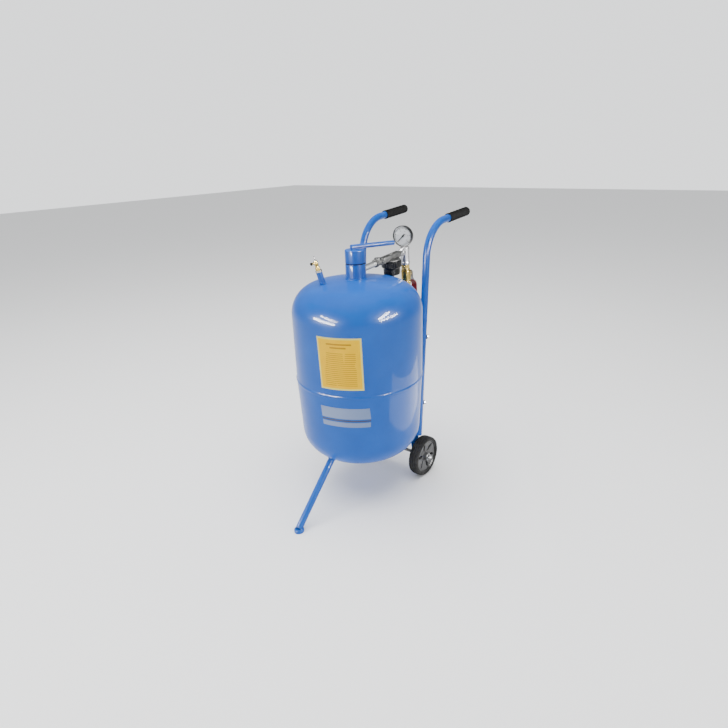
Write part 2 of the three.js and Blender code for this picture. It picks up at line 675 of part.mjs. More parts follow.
function tee(branchFrom) {
  const { pipeRadius, pipeBore, columnY, columnRadius, teeTop } = line;
  const branchRadius = 10.5;
  const waist = columnRadius - 0.8;
  return cut(
    joined(
      turned([
        [0, -40], [columnRadius, -40], [columnRadius, -34], [waist, -33], [waist, 2], [columnRadius, 3],
        [columnRadius, teeTop], [0, teeTop],
      ], 16).translate(0, columnY, 0),
      turnedAlongY([
        [0, branchFrom], [pipeRadius, branchFrom], [pipeRadius, columnY - 22], [branchRadius, columnY - 22],
        [branchRadius, columnY], [0, columnY],
      ])),
    rod(6, 40).translate(0, columnY, -42),
    rod(pipeBore - 1, columnY - branchFrom + 2).rotateX(-Math.PI / 2).translate(0, branchFrom - 2, 0),
    rod(4.6, teeTop + 5, 12).translate(0, columnY, -4));
}

function pipeParts(group) {
  const { pipeRadius, pipeBore, checkY, trapY } = line;
  const pipeEnd = checkY - 15;
  const headFrom = checkY + 20 + gap;
  const headTo = trapY + 40;
  const neckPipe = [[pipeBore, -6], [pipeRadius, -6], [pipeRadius, pipeEnd], [pipeBore, pipeEnd]];
  group.add(piece('neck_pipe', turnedAlongY(neckPipe), steel));
  group.add(piece('check_valve', checkValve(), castZinc));
  trapParts(group, headFrom, headTo);
  group.add(piece('tee', tee(headTo + gap), steel));
}

// The Bourdon tube's centre line, an open ring behind the dial.
class CoilPath extends THREE.Curve {
  constructor(z) {
    super();
    this.z = z;
  }

  getPoint(t) {
    const a = radians(-80 + 250 * t);
    return new THREE.Vector3(20 * Math.cos(a), 20 * Math.sin(a), this.z);
  }
}

function gaugeParts(group) {
  const { radius, front, depth, centreZ, turn, needleZero } = gauge;
  const column = new THREE.Group();
  column.position.set(0, line.columnY, centreZ);
  column.rotation.z = radians(turn);
  group.add(column);
  const dialGroup = new THREE.Group();
  // The gauge's own +Z points out of its face, which looks forwards along the column's -Y.
  dialGroup.rotation.x = Math.PI / 2;
  column.add(dialGroup);
  const back = front - depth;
  const seat = centreZ - line.teeTop - gap;
  const stem = joined(
    hex(13, 13).rotateX(Math.PI / 2).translate(0, 13 - seat, 0),
    rod(4.3, 12, 12).rotateX(Math.PI / 2).translate(0, 1 - seat, 0));
  const shell = turned([
    [0, back], [radius - 4, back], [radius - 1.5, back + 2], [radius - 1.5, front - 6], [radius, front - 5],
    [radius, front - 1], [radius - 1, front], [radius - 2, front], [radius - 2, back + 3], [0, back + 3],
  ], 24);
  const clearInside = rod(radius - 2, depth, 24).translate(0, 0, back + 3.1);
  dialGroup.add(piece('gauge_case', joined(shell, cut(stem, clearInside)), blackPlastic));
  const inner = radius - 2 - gap;
  const disc = (hole, low, high) => turned([[hole, low], [inner, low], [inner, high], [hole, high]], 24);
  dialGroup.add(piece('gauge_dial', disc(1.6, front - 6.4, front - 5.4), dialPaint));
  dialGroup.add(piece('gauge_lens', disc(0, front - 1.9, front - 0.4), glass));
  const pointer = plate([[-1.6, -8], [1.6, -8], [0.9, 0], [0.45, 24], [-0.45, 24], [-0.9, 0]], 0.7);
  const needle = joined(
    pointer.translate(0, 0, front - 4.4),
    rod(3, 1.4, 14).translate(0, 0, front - 4.7),
    rod(1, 5.5, 8).translate(0, 0, front - 9.5));
  const needlePiece = piece('gauge_needle', needle, blackPlastic);
  // Pointing up at 0 degrees, the needle rests an eighth of a turn short of pointing down, on the left.
  needlePiece.rotation.z = Math.PI + radians(needleZero);
  dialGroup.add(needlePiece);
  const coil = new THREE.ExtrudeGeometry(ringShape(1.8, 0, 8), {
    steps: 12, bevelEnabled: false, extrudePath: new CoilPath(back + 7),
  });
  dialGroup.add(piece('bourdon_tube', coil, brass));
}

// The lever's strip as a band of the given thickness, cranked away from the valve below its stem.
function leverBand(thickness, width, fromZ, toZ) {
  const { stemZ } = ballValve;
  const { reach, crank, crankFrom, crankTo } = lever;
  const half = thickness / 2;
  const offset = (z) => {
    const share = (stemZ + crankFrom - z) / (crankFrom - crankTo);
    return reach + crank * Math.min(Math.max(share, 0), 1);
  };
  const heights = [fromZ, stemZ + crankFrom, stemZ + crankTo, toZ].filter((z, i) => i === 0 || z < fromZ);
  const front = heights.map((z) => [offset(z) - half, z]);
  const back = heights.map((z) => [offset(z) + half, z]);
  return stood([...front, ...back.reverse()], width);
}

function valveParts(group) {
  const { stemZ, topZ, bottomZ, radius, stemBore, hoseRadius } = ballValve;
  const column = new THREE.Group();
  column.position.y = line.columnY;
  group.add(column);
  const stemAlongY = (geometry) => geometry.rotateX(-Math.PI / 2).translate(0, 0, stemZ);
  const barrel = turned([
    [0, bottomZ], [12, bottomZ], [radius, stemZ - 14], [radius, stemZ + 14], [11, stemZ + 17],
    [11, topZ - 8], [0, topZ - 8],
  ], 14);
  const body = cut(
    joined(
      hex(24, 10).translate(0, 0, topZ - gap - 10),
      barrel,
      hex(27, 11).translate(0, 0, bottomZ),
      stemAlongY(rod(8, lever.reach - 7, 14))),
    rod(5.5, topZ - bottomZ + 4).translate(0, 0, bottomZ - 2),
    new THREE.SphereGeometry(10.4, 12, 6).translate(0, 0, stemZ),
    stemAlongY(rod(stemBore, lever.reach, 12)));
  column.add(piece('valve_body', body, brass));

  const ball = cut(
    joined(
      new THREE.SphereGeometry(9, 12, 6).translate(0, 0, stemZ),
      stemAlongY(rod(stemBore - 0.5, lever.reach + 6, 12)),
      stemAlongY(hex(9, 4).translate(0, 0, lever.reach + 2))),
    rod(5.4, 24).translate(0, 0, stemZ - 12));
  column.add(piece('valve_stem', ball, steel));

  const { width, thickness } = lever;
  const leverEnd = stemZ + lever.end;
  const stemHole = stemAlongY(rod(stemBore - 0.1, lever.reach + 10, 12));
  column.add(piece('valve_lever', cut(leverBand(thickness, width, stemZ + 8, leverEnd), stemHole), steel));
  const sleeve = cut(
    leverBand(thickness + 4.4, width + 4, stemZ - 24, leverEnd - 3),
    leverBand(thickness + 2 * gap, width + 2 * gap, stemZ - 10, leverEnd - 0.5));
  column.add(piece('lever_sleeve', sleeve, redVinyl));

  const nippleTop = bottomZ - gap;
  const nipple = turned([
    [3.6, -40], [5.2, -40], [6, -38], [6, -33], [4.6, -31], [6, -28], [6, -17], [hoseRadius, -15],
    [hoseRadius, 0], [3.6, 0],
  ], 14).translate(0, 0, nippleTop);
  const flats = cut(hex(19, 9).translate(0, 0, nippleTop - 12), rod(3.6, 40).translate(0, 0, nippleTop - 30));
  column.add(piece('inlet_nipple', joined(nipple, flats), steel));
}

function inletLine() {
  const group = new THREE.Group();
  group.position.set(0, neck.radius, line.portZ);
  group.rotation.x = radians(line.tilt);
  pipeParts(group);
  gaugeParts(group);
  valveParts(group);
  return group;
}

// ---------------------------------------------------------------- the whole pot
const pot = new THREE.Group();
pot.add(tankGroup(), plugGroup(), reliefGroup(), legGroup(), runningGear(), inletLine());
pot.add(handleSide(1, 'right'), handleSide(-1, 'left'));

// The part's origin is on the floor under the middle of its footprint, not under the tank.
const extent = new THREE.Box3().setFromObject(pot, true);
pot.position.set(0, -(extent.min.y + extent.max.y) / 2, 0);

export default pot;
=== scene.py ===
"""A wheeled pressure pot's looks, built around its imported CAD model."""
import json
from math import asin, atan2, cos, hypot, pi, radians, sin, sqrt, tan

import bmesh
import bpy
from mathutils import Matrix, Vector, noise


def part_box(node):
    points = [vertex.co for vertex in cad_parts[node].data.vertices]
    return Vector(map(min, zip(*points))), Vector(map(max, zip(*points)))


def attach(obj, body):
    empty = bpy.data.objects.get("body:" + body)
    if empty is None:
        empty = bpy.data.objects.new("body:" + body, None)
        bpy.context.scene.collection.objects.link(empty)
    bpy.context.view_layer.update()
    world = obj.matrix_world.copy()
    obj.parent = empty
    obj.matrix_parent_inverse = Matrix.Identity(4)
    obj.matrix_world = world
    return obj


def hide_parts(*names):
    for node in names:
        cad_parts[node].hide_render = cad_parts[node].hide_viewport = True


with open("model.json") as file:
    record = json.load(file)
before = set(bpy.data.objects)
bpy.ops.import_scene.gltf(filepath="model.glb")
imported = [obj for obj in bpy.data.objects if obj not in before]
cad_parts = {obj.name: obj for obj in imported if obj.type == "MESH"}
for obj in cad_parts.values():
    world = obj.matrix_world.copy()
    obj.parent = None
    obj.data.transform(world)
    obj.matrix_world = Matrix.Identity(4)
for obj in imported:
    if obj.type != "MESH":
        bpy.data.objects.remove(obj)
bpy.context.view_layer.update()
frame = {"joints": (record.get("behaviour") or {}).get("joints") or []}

MM = 0.001
UP = Vector((0, 0, 1))
JOINTS = {j["name"]: j for j in frame["joints"]}


# ---- places, in metres, from the frame
def middle(node):
    low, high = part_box(node)
    return (low + high) / 2


def joint_place(name):
    """A joint's point and direction."""
    return Vector(JOINTS[name]["pos_m"]), Vector(JOINTS[name]["axis"]).normalized()


TANK_Y = middle("filler_neck").y
TANK = Matrix.Translation((0, TANK_Y, 0))

# Sizes in millimetres, on the tank's axis.
RADIUS = 180
WALL = 3
KNUCKLE = 80
HEAD = 90
SEAM_Z = 371
SEAM_GAP = 1.5
SHOULDER_Z = 556
LOWER_RADIUS = 173
LOWER_TANGENT_Z = 217
TOP_Z = SHOULDER_Z + HEAD
BOTTOM_Z = LOWER_TANGENT_Z - HEAD
NECK_RADIUS = 27.4
NECK_TOP = 685
CAP_BOTTOM = 688
CAP_TOP = 723
TUBE_X = 112
TUBE_RADIUS = 10.5
TUBE_LEAN = 0.066
TUBE_END_Y = 412
BEND_START_Z = 681
BEND_RADIUS = 100
GRIP_RISE = radians(4)
COLUMN_Y = 213
VALVE_Z = -73
TRAP_Y = 140
GAUGE_RADIUS = 31.3
GAUGE_FRONT = 14
WINDOW_TURN = 15
WHEEL_RADIUS = 62.8
WHEEL_WIDTH = 33
FINE = 96  # segments round a visible turned edge


# ---- mesh helpers, in millimetres
def place(location=(0, 0, 0), direction=UP):
    """A matrix that stands +Z at a point along a direction."""
    turn = UP.rotation_difference(Vector(direction).normalized()).to_matrix().to_4x4()
    return Matrix.Translation(Vector(location)) @ turn


def axes_of(x, y, z):
    """The rotation with these three columns."""
    return Matrix((x, y, z)).transposed().to_4x4()


def upended(lift):
    """Takes an outline's +Y to +Z and its thickness to the side, from a side offset in millimetres."""
    return Matrix(((1, 0, 0, 0), (0, 0, 1, lift * MM), (0, 1, 0, 0), (0, 0, 0, 1)))


def metres(matrix):
    """A millimetre placement as a metre placement on the tank's frame."""
    scaled = matrix.copy()
    scaled.translation = matrix.translation * MM
    return TANK @ scaled


def around(count):
    """Angles evenly round a circle."""
    return [2 * pi * k / count for k in range(count)]


def circle(radius, z, count):
    return [Vector((radius * cos(a), radius * sin(a), z)) for a in around(count)]


def wave(angle):
    """A smooth 0 to 1 wave."""
    return 0.5 + 0.5 * cos(angle)


def raised(profile, z):
    """The profile moved up."""
    return [(point[0], z + point[1], *point[2:]) for point in profile]


def linked(mesh):
    """An object for a mesh, in the scene."""
    obj = bpy.data.objects.new("shape", mesh)
    bpy.context.scene.collection.objects.link(obj)
    return obj


def smooth(obj, sharp=32):
    """The object shaded smooth, except at edges sharper than this many degrees."""
    obj.data.polygons.foreach_set("use_smooth", [True] * len(obj.data.polygons))
    obj.data.set_sharp_from_angle(angle=radians(sharp))
    return obj


def make(vertices, faces, where, sharp=32):
    """A shaded object from millimetre vertices. where takes them to the row frame in metres."""
    mesh = bpy.data.meshes.new("shape")
    mesh.from_pydata([where @ (Vector(v) * MM) for v in vertices], [], faces)
    mesh.validate()
    return smooth(linked(mesh), sharp)


def skin(rings, closed=False):
    """Vertices and faces of a tube through rings of equal length. closed joins the last to the first."""
    count = len(rings[0])
    vertices = [v for ring in rings for v in ring]
    faces = []
    last = len(rings) if closed else len(rings) - 1
    for i in range(last):
        a, b = i * count, ((i + 1) % len(rings)) * count
        for k in range(count):
            n = (k + 1) % count
            faces.append((a + k, a + n, b + n, b + k))
    if not closed:
        faces.append(tuple(range(count - 1, -1, -1)))
        faces.append(tuple((len(rings) - 1) * count + k for k in range(count)))
    return vertices, faces


def softened(profile, closed, steps=3):
    """The profile with each corner that has a third value rounded to that radius."""
    points = []
    count = len(profile)
    for i, point in enumerate(profile):
        here = Vector(point[:2])
        round_to = point[2] if len(point) > 2 else 0
        inside = closed or 0 < i < count - 1
        if not round_to or not inside:
            points.append(here)
            continue
        before = Vector(profile[i - 1][:2]) - here
        after = Vector(profile[(i + 1) % count][:2]) - here
        reach = min(round_to, before.length * 0.49, after.length * 0.49)
        start = here + before.normalized() * reach
        end = here + after.normalized() * reach
        for s in range(steps + 1):
            t = s / steps
            points.append(start * (1 - t) ** 2 + here * 2 * t * (1 - t) + end * t ** 2)
    return points


def turned(profile, where, segments=64, shape=None, sharp=32, steps=3):
    """A solid of revolution about Z. shape(radius, z, angle) may change the radius all round."""
    closed = profile[0][0] > 0
    rings = []
    for p in softened(profile, closed, steps):
        ring = []
        for a in around(segments):
            r = max(p.x, 0.0005)
            if shape and p.x > 0:
                r = shape(r, p.y, a)
            ring.append((r * cos(a), r * sin(a), p.y))
        rings.append(ring)
    return make(*skin(rings, closed), where, sharp)


def nut(flats, low, high, where, bore=0.0, foot_chamfer=True, sides=96):
    """A hexagon with the conical chamfers of a turned nut, solid or with a bore."""
    full = flats / 2 * 1.155
    drawn_in = flats / 2 * 0.97
    drop = (full - drawn_in) * tan(radians(30))
    limits = []
    for s in range(5):
        limits.append((low + drop * s / 4, drawn_in + (full - drawn_in) * s / 4 if foot_chamfer else full))
    for s in range(5):
        limits.append((high - drop * (1 - s / 4), full - (full - drawn_in) * s / 4))
    rings = []
    for z, limit in limits:
        ring = []
        for a in around(sides):
            flat = flats / 2 / cos((a % (pi / 3)) - pi / 6)
            r = min(flat, flats / 2 * 1.13, limit)
            ring.append((r * cos(a), r * sin(a), z))
        rings.append(ring)
    if bore:
        rings += [circle(bore, high, sides), circle(bore, low, sides)]
    return make(*skin(rings, closed=bool(bore)), where, 25)


def swept(path, section, where, closed=False, hollow=0.0, sides=24, side_hint=Vector((1, 0, 0))):
    """A round tube along a path of points. section is its radius, or a function of the index."""
    rings = []
    count = len(path)
    for i, p in enumerate(path):
        ahead = path[(i + 1) % count] if closed or i < count - 1 else path[i]
        behind = path[i - 1] if closed or i > 0 else path[i]
        tangent = (ahead - behind).normalized()
        side = (side_hint - tangent * side_hint.dot(tangent)).normalized()
        over = tangent.cross(side)
        r = section(i) if callable(section) else section
        rings.append([p + side * r * cos(a) + over * r * sin(a) for a in around(sides)])
    if hollow:
        inner = []
        for ring, p in zip(rings, path):
            inner.append([p + (v - p).normalized() * hollow for v in ring])
        return make(*skin(rings + inner[::-1], closed=True), where, 40)
    return make(*skin(rings, closed), where, 40)


def settle(obj):
    """Applies the object's modifiers to its mesh."""
    graph = bpy.context.evaluated_depsgraph_get()
    made = bpy.data.meshes.new_from_object(obj.evaluated_get(graph))
    obj.modifiers.clear()
    obj.data = made


def add_cut(obj, tool):
    cut = obj.modifiers.new("cut", "BOOLEAN")
    cut.object = tool
    cut.solver = "EXACT"


def add_bevel(obj, width, segments):
    edge = obj.modifiers.new("edge", "BEVEL")
    edge.width = width * MM
    edge.segments = segments
    edge.limit_method = "ANGLE"
    return edge


def slab(outline, thickness, where, bevel=0.8, holes=()):
    """A plate from an outline in its own XY plane, from z = 0 up, with bevelled edges and round holes."""
    mesh = bmesh.new()
    low = [mesh.verts.new((x * MM, y * MM, 0)) for x, y in outline]
    face = mesh.faces.new(low)
    lifted = bmesh.ops.extrude_face_region(mesh, geom=[face])["geom"]
    moved = [g for g in lifted if isinstance(g, bmesh.types.BMVert)]
    bmesh.ops.translate(mesh, verts=moved, vec=(0, 0, thickness * MM))
    bmesh.ops.recalc_face_normals(mesh, faces=mesh.faces)
    data = bpy.data.meshes.new("shape")
    mesh.to_mesh(data)
    mesh.free()
    obj = linked(data)
    for x, y, r in holes:
        drill = turned([(0, -5), (r, -5), (r, thickness + 5), (0, thickness + 5)],
                       Matrix.Translation((x * MM, y * MM, 0)), 48)
        add_cut(obj, drill)
        settle(obj)
        bpy.data.objects.remove(drill)
    if bevel:
        add_bevel(obj, bevel, 3).angle_limit = radians(30)
        settle(obj)
    obj.data.transform(where)
    return smooth(obj)


def together(*objects):
    """One object holding the meshes of several, which are removed."""
    mesh = bmesh.new()
    for o in objects:
        mesh.from_mesh(o.data)
    data = bpy.data.meshes.new("shape")
    mesh.to_mesh(data)
    mesh.free()
    for o in objects:
        bpy.data.objects.remove(o)
    return smooth(linked(data))


def piece(name, look, *shapes, body="pot", nodes=(), slot=None):
    """A named piece from one or more shapes, with its body and look, standing for CAD nodes."""
    obj = together(*shapes) if len(shapes) > 1 else shapes[0]
    obj.name = name
    obj.data.name = name
    obj.data.materials.clear()
    obj.data.materials.append(look)
    slot = slot or SLOTS[look]
    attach(obj, body)
    if nodes:
        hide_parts(*nodes)
    return obj


def fine(node, look, *shapes, **choices):
    """The piece that stands for one CAD node."""
    return piece(f"{node}_fine", look, *shapes, nodes=(node,), **choices)


# ---- materials
class Nodes:
    """Builds one node tree, with each helper returning an output socket."""

    def __init__(self, owner, shader="Principled BSDF"):
        owner.use_nodes = True
        self.owner = owner
        self.tree = owner.node_tree
        self.shader = self.tree.nodes[shader]
        self.places = self.add("TexCoord").outputs
        self.point = self.places["Object"]

    def add(self, kind, **settings):
        made = self.tree.nodes.new(f"ShaderNode{kind}")
        for name, value in settings.items():
            setattr(made, name, value)
        return made

    def put(self, socket, value):
        target = self.shader.inputs[socket] if isinstance(socket, str) else socket
        if isinstance(value, bpy.types.NodeSocket):
            self.tree.links.new(value, target)
        elif isinstance(value, tuple) and len(value) == 3:
            target.default_value = (*value, 1)
        else:
            target.default_value = value

    def noise(self, scale, detail=3.0, rough=0.55, stretch=(1, 1, 1)):
        mapping = self.add("Mapping")
        mapping.inputs["Scale"].default_value = stretch
        self.put(mapping.inputs["Vector"], self.point)
        made = self.add("TexNoise")
        self.put(made.inputs["Vector"], mapping.outputs["Vector"])
        made.inputs["Scale"].default_value = scale
        made.inputs["Detail"].default_value = detail
        made.inputs["Roughness"].default_value = rough
        return made.outputs["Fac"]

    def cells(self, scale):
        made = self.add("TexVoronoi")
        self.put(made.inputs["Vector"], self.point)
        made.inputs["Scale"].default_value = scale
        return made.outputs["Color"]

    def ramp(self, value, *stops):
        made = self.add("ValToRGB")
        self.put(made.inputs["Fac"], value)
        ramp = made.color_ramp
        while len(ramp.elements) < len(stops):
            ramp.elements.new(0.5)
        for element, (position, colour) in zip(ramp.elements, stops):
            element.position = position
            element.color = (*colour, 1)
        return made.outputs["Color"]

    def span(self, value, low, high, start=0.0, stop=1.0):
        """A value from start to stop taken to low to high."""
        made = self.add("MapRange")
        ends = {"Value": value, "From Min": start, "From Max": stop, "To Min": low, "To Max": high}
        for name, end in ends.items():
            self.put(made.inputs[name], end)
        return made.outputs["Result"]

    def maths(self, kind, a, b):
        made = self.add("Math", operation=kind)
        self.put(made.inputs[0], a)
        self.put(made.inputs[1], b)
        return made.outputs["Value"]

    def mix(self, share, a, b):
        made = self.add("Mix", data_type="RGBA")
        for index, value in ((0, share), (6, a), (7, b)):
            self.put(made.inputs[index], value)
        return made.outputs[2]

    def worn_edges(self):
        """1 on raised edges and 0 elsewhere."""
        return self.span(self.add("NewGeometry").outputs["Pointiness"], 0.0, 1.0, 0.52, 0.58)

    def bump(self, height, strength, distance):
        """Ends a material with its surface relief, its distance in millimetres."""
        made = self.add("Bump")
        made.inputs["Strength"].default_value = strength
        made.inputs["Distance"].default_value = distance * MM
        self.put(made.inputs["Height"], height)
        self.put("Normal", made.outputs["Normal"])
        return self.owner


def new_look(name):
    return Nodes(bpy.data.materials.new(name))


def enamel():
    """Glossy blue enamel: a clear top coat, faint orange peel, and colour that drifts a little."""
    n = new_look("blue_enamel")
    drift = n.noise(9, 4)
    mottle = n.noise(140, 2)
    base = n.ramp(drift, (0.3, (0.006, 0.082, 0.39)), (0.55, (0.008, 0.093, 0.43)),
                  (0.75, (0.010, 0.106, 0.47)))
    n.put("Base Color", n.mix(n.maths("MULTIPLY", mottle, 0.12), base, (0.016, 0.13, 0.52)))
    n.put("Roughness", n.span(n.noise(35, 3), 0.24, 0.40))
    n.put("Coat Weight", 0.4)
    n.put("Coat Roughness", 0.05)
    n.put("Coat IOR", 1.35)
    n.put("Specular IOR Level", 0.06)
    return n.bump(n.noise(420, 2, 0.5), 0.10, 0.12)


def rubber(name, dark, light, grain=900, rough=(0.62, 0.85)):
    n = new_look(name)
    n.put("Base Color", n.ramp(n.noise(60, 4), (0.35, dark), (0.7, light)))
    n.put("Specular IOR Level", 0.08)
    n.put("Roughness", n.span(n.noise(180, 3), *rough))
    return n.bump(n.noise(grain, 3, 0.6), 0.25, 0.25)


def plastic(name, dark, light, rough):
    n = new_look(name)
    n.put("Base Color", n.mix(n.worn_edges(), n.ramp(n.noise(40, 3), (0.3, dark), (0.75, light)), light))
    n.put("Specular IOR Level", 0.22)
    n.put("Roughness", n.span(n.noise(90, 3), rough, rough + 0.14))
    return n.bump(n.noise(600, 2), 0.1, 0.15)


def metal(name, dark, light, rough, strength=0.12, edge=None):
    n = new_look(name)
    tone = n.ramp(n.noise(70, 4), (0.3, dark), (0.7, light))
    n.put("Base Color", n.mix(n.worn_edges(), tone, edge or light))
    n.put("Metallic", 1.0)
    n.put("Roughness", n.span(n.noise(240, 3, 0.6), rough, rough + 0.2))
    return n.bump(n.noise(480, 3, 0.6), strength, 0.12)


def galvanised():
    """Zinc with its faint crystal spangle."""
    n = new_look("galvanised")
    tone = n.ramp(n.cells(260), (0.0, (0.060, 0.061, 0.061)), (0.5, (0.095, 0.097, 0.097)),
                  (1.0, (0.14, 0.143, 0.143)))
    n.put("Base Color", n.mix(n.worn_edges(), tone, (0.26, 0.26, 0.255)))
    n.put("Metallic", 0.95)
    n.put("Roughness", n.span(n.noise(120, 3), 0.42, 0.62))
    return n.bump(n.noise(300, 3), 0.14, 0.15)


def cast():
    """Grey die-cast zinc, pebbled and slightly dull."""
    n = new_look("cast_zinc")
    n.put("Base Color", n.ramp(n.noise(80, 5), (0.3, (0.065, 0.065, 0.063)), (0.7, (0.12, 0.12, 0.116))))
    n.put("Metallic", 0.85)
    n.put("Roughness", n.span(n.noise(160, 3), 0.42, 0.62))
    return n.bump(n.noise(700, 4, 0.65), 0.4, 0.3)


def printed(name, paper, ink):
    """A matt printed surface."""
    n = new_look(name)
    n.put("Base Color", n.mix(n.maths("MULTIPLY", n.noise(300, 3), 0.12), paper, ink))
    n.put("Roughness", n.span(n.noise(150, 2), 0.38, 0.5))
    return n.bump(n.noise(800, 2), 0.05, 0.08)


def clear():
    n = new_look("gauge_glass")
    n.put("Base Color", (0.97, 0.98, 0.98))
    n.put("Roughness", n.span(n.noise(80, 2), 0.01, 0.03))
    n.put("Transmission Weight", 1.0)
    n.put("IOR", 1.12)
    return n.bump(n.noise(60, 1), 0.02, 0.05)


def label_film():
    """Yellow film with a pale border and plain ruled lines. Its UVs run 0 to 1 over the sheet."""
    n = new_look("yellow_film")
    across = n.add("SeparateXYZ")
    n.put(across.inputs[0], n.places["UV"])
    u, v = across.outputs[0], across.outputs[1]

    def between(value, low, high):
        above = n.maths("GREATER_THAN", value, low)
        return n.maths("MULTIPLY", above, n.maths("LESS_THAN", value, high))

    def box(u0, u1, v0, v1):
        return n.maths("MULTIPLY", between(u, u0, u1), between(v, v0, v1))

    field = box(0.035, 0.965, 0.03, 0.97)
    yellow = n.ramp(n.noise(30, 3), (0.3, (0.80, 0.46, 0.0)), (0.7, (0.84, 0.50, 0.0)))
    colour = n.mix(field, (0.72, 0.64, 0.16), yellow)
    row = n.maths("FRACT", n.maths("MULTIPLY", v, 26.0), 0.0)
    ragged = n.noise(48, 2, 0.5, (1, 1, 0.2))
    rules = n.maths("MULTIPLY", box(0.13, 0.86, 0.08, 0.74), between(row, 0.30, 0.58))
    rules = n.maths("MULTIPLY", rules, n.maths("GREATER_THAN", ragged, 0.36))
    heads = n.maths("ADD", box(0.22, 0.78, 0.865, 0.895), box(0.30, 0.66, 0.80, 0.83))
    ink = n.maths("MULTIPLY", n.maths("MINIMUM", n.maths("ADD", rules, heads), 1.0), 0.8)
    n.put("Base Color", n.mix(ink, colour, (0.33, 0.14, 0.01)))
    n.put("Roughness", n.span(n.noise(70, 2), 0.28, 0.4))
    n.put("Specular IOR Level", 0.04)
    return n.bump(n.noise(120, 2), 0.06, 0.1)


BLUE = enamel()
GRIP_RUBBER = rubber("grip_rubber", (0.002, 0.002, 0.002), (0.007, 0.007, 0.007))
TYRE_RUBBER = rubber("tyre_rubber", (0.018, 0.018, 0.018), (0.050, 0.049, 0.048), 700, (0.7, 0.9))
RIM_PLASTIC = plastic("rim_plastic", (0.06, 0.06, 0.062), (0.10, 0.10, 0.103), 0.40)
BLACK = plastic("black_plastic", (0.003, 0.003, 0.003), (0.008, 0.008, 0.008), 0.22)
BRASS = metal("brass", (0.24, 0.17, 0.04), (0.42, 0.30, 0.085), 0.14, edge=(0.62, 0.48, 0.20))
STEEL = metal("plated_steel", (0.16, 0.16, 0.165), (0.28, 0.28, 0.28), 0.24)
CHROME = metal("bright_steel", (0.32, 0.32, 0.33), (0.44, 0.44, 0.44), 0.20, strength=0.08)
DARK_STEEL = metal("dark_steel", (0.025, 0.025, 0.026), (0.05, 0.05, 0.051), 0.40)
ZINC = galvanised()
CAST = cast()
DIAL = printed("dial_face", (0.50, 0.50, 0.50), (0.38, 0.38, 0.38))
INK = printed("dial_ink", (0.008, 0.008, 0.008), (0.02, 0.02, 0.02))
FELT = printed("filter_felt", (0.72, 0.70, 0.64), (0.55, 0.52, 0.46))
GLASS = clear()
RED = plastic("red_vinyl", (0.13, 0.003, 0.006), (0.20, 0.006, 0.010), 0.30)
YELLOW = label_film()
SILVER = printed("silver_film", (0.12, 0.19, 0.36), (0.05, 0.11, 0.28))

# The record's slot for each look, unless a piece names another.
SLOTS = {
    BLUE: "blue_enamel", GRIP_RUBBER: "black_rubber", TYRE_RUBBER: "tyre_rubber",
    RIM_PLASTIC: "wheel_plastic", BLACK: "black_plastic", BRASS: "brass", STEEL: "plated_steel",
    CHROME: "plated_steel", DARK_STEEL: "plated_steel", ZINC: "plated_steel", CAST: "cast_zinc",
    DIAL: "dial_face", INK: "dial_face", FELT: "dial_face", GLASS: "clear_lens", RED: "red_vinyl",
    YELLOW: "yellow_film", SILVER: "silver_film",
}


# ---- tank
def head(radius, knuckle, depth, start_z, side, hole):
    """A dished head's outline from its rim to a hole, above start_z (side 1) or below it (side -1)."""
    crown = ((radius - knuckle) ** 2 + depth ** 2 - knuckle ** 2) / (2 * (depth - knuckle))
    meet = atan2(radius - knuckle, crown - depth)
    points = []
    for i in range(25):
        a = (pi / 2 - meet) * i / 24
        points.append((radius - knuckle + knuckle * cos(a), start_z + side * knuckle * sin(a)))
    edge = asin(hole / crown)
    for i in range(1, 17):
        a = meet + (edge - meet) * i / 16
        points.append((crown * sin(a), start_z + side * (depth - crown + crown * cos(a))))
    return points


TANK_OUTLINE = (head(LOWER_RADIUS, KNUCKLE, HEAD, LOWER_TANGENT_Z, -1, 0.01)[::-1] + [(RADIUS, SEAM_Z)]
                + head(RADIUS, KNUCKLE, HEAD, SHOULDER_Z, 1, 0.01))


def tank_radius(z):
    """The tank's outside radius at a height."""
    for (r0, z0), (r1, z1) in zip(TANK_OUTLINE, TANK_OUTLINE[1:]):
        if z0 <= z <= z1:
            return r0 + (r1 - r0) * (z - z0) / max(z1 - z0, 1e-9)
    return 0.0


def meets_tank(point, direction):
    """Where a line from a point outside the tank first meets its wall."""
    direction = Vector(direction).normalized()
    low, high = 0.0, 80
    for _ in range(30):
        mid = (low + high) / 2
        p = point + direction * mid
        if hypot(p.x, p.y) < tank_radius(p.z):
            high = mid
        else:
            low = mid
    return point + direction * high


def weld(name, path, size=2.2, closed=True):
    """A fillet weld's bead along a path, with the ripple of its laid drops."""
    steps = []
    count = len(path)
    for i in range(count if closed else count - 1):
        a, b = path[i], path[(i + 1) % count]
        parts = max(1, int((b - a).length / 0.8))
        for s in range(parts):
            steps.append(a.lerp(b, s / parts))
    if not closed:
        steps.append(path[-1])
    run = [0.0]
    for a, b in zip(steps, steps[1:]):
        run.append(run[-1] + (b - a).length)

    def section(i):
        ripple = abs(sin(run[i] * pi / 3.2))
        return size * (0.80 + 0.20 * ripple) * (0.97 + 0.03 * noise.noise(steps[i] * 0.5))

    bead = swept(steps, section, TANK, closed, sides=12, side_hint=Vector((0.31, 0.27, 0.91)))
    return piece(name, BLUE, bead)


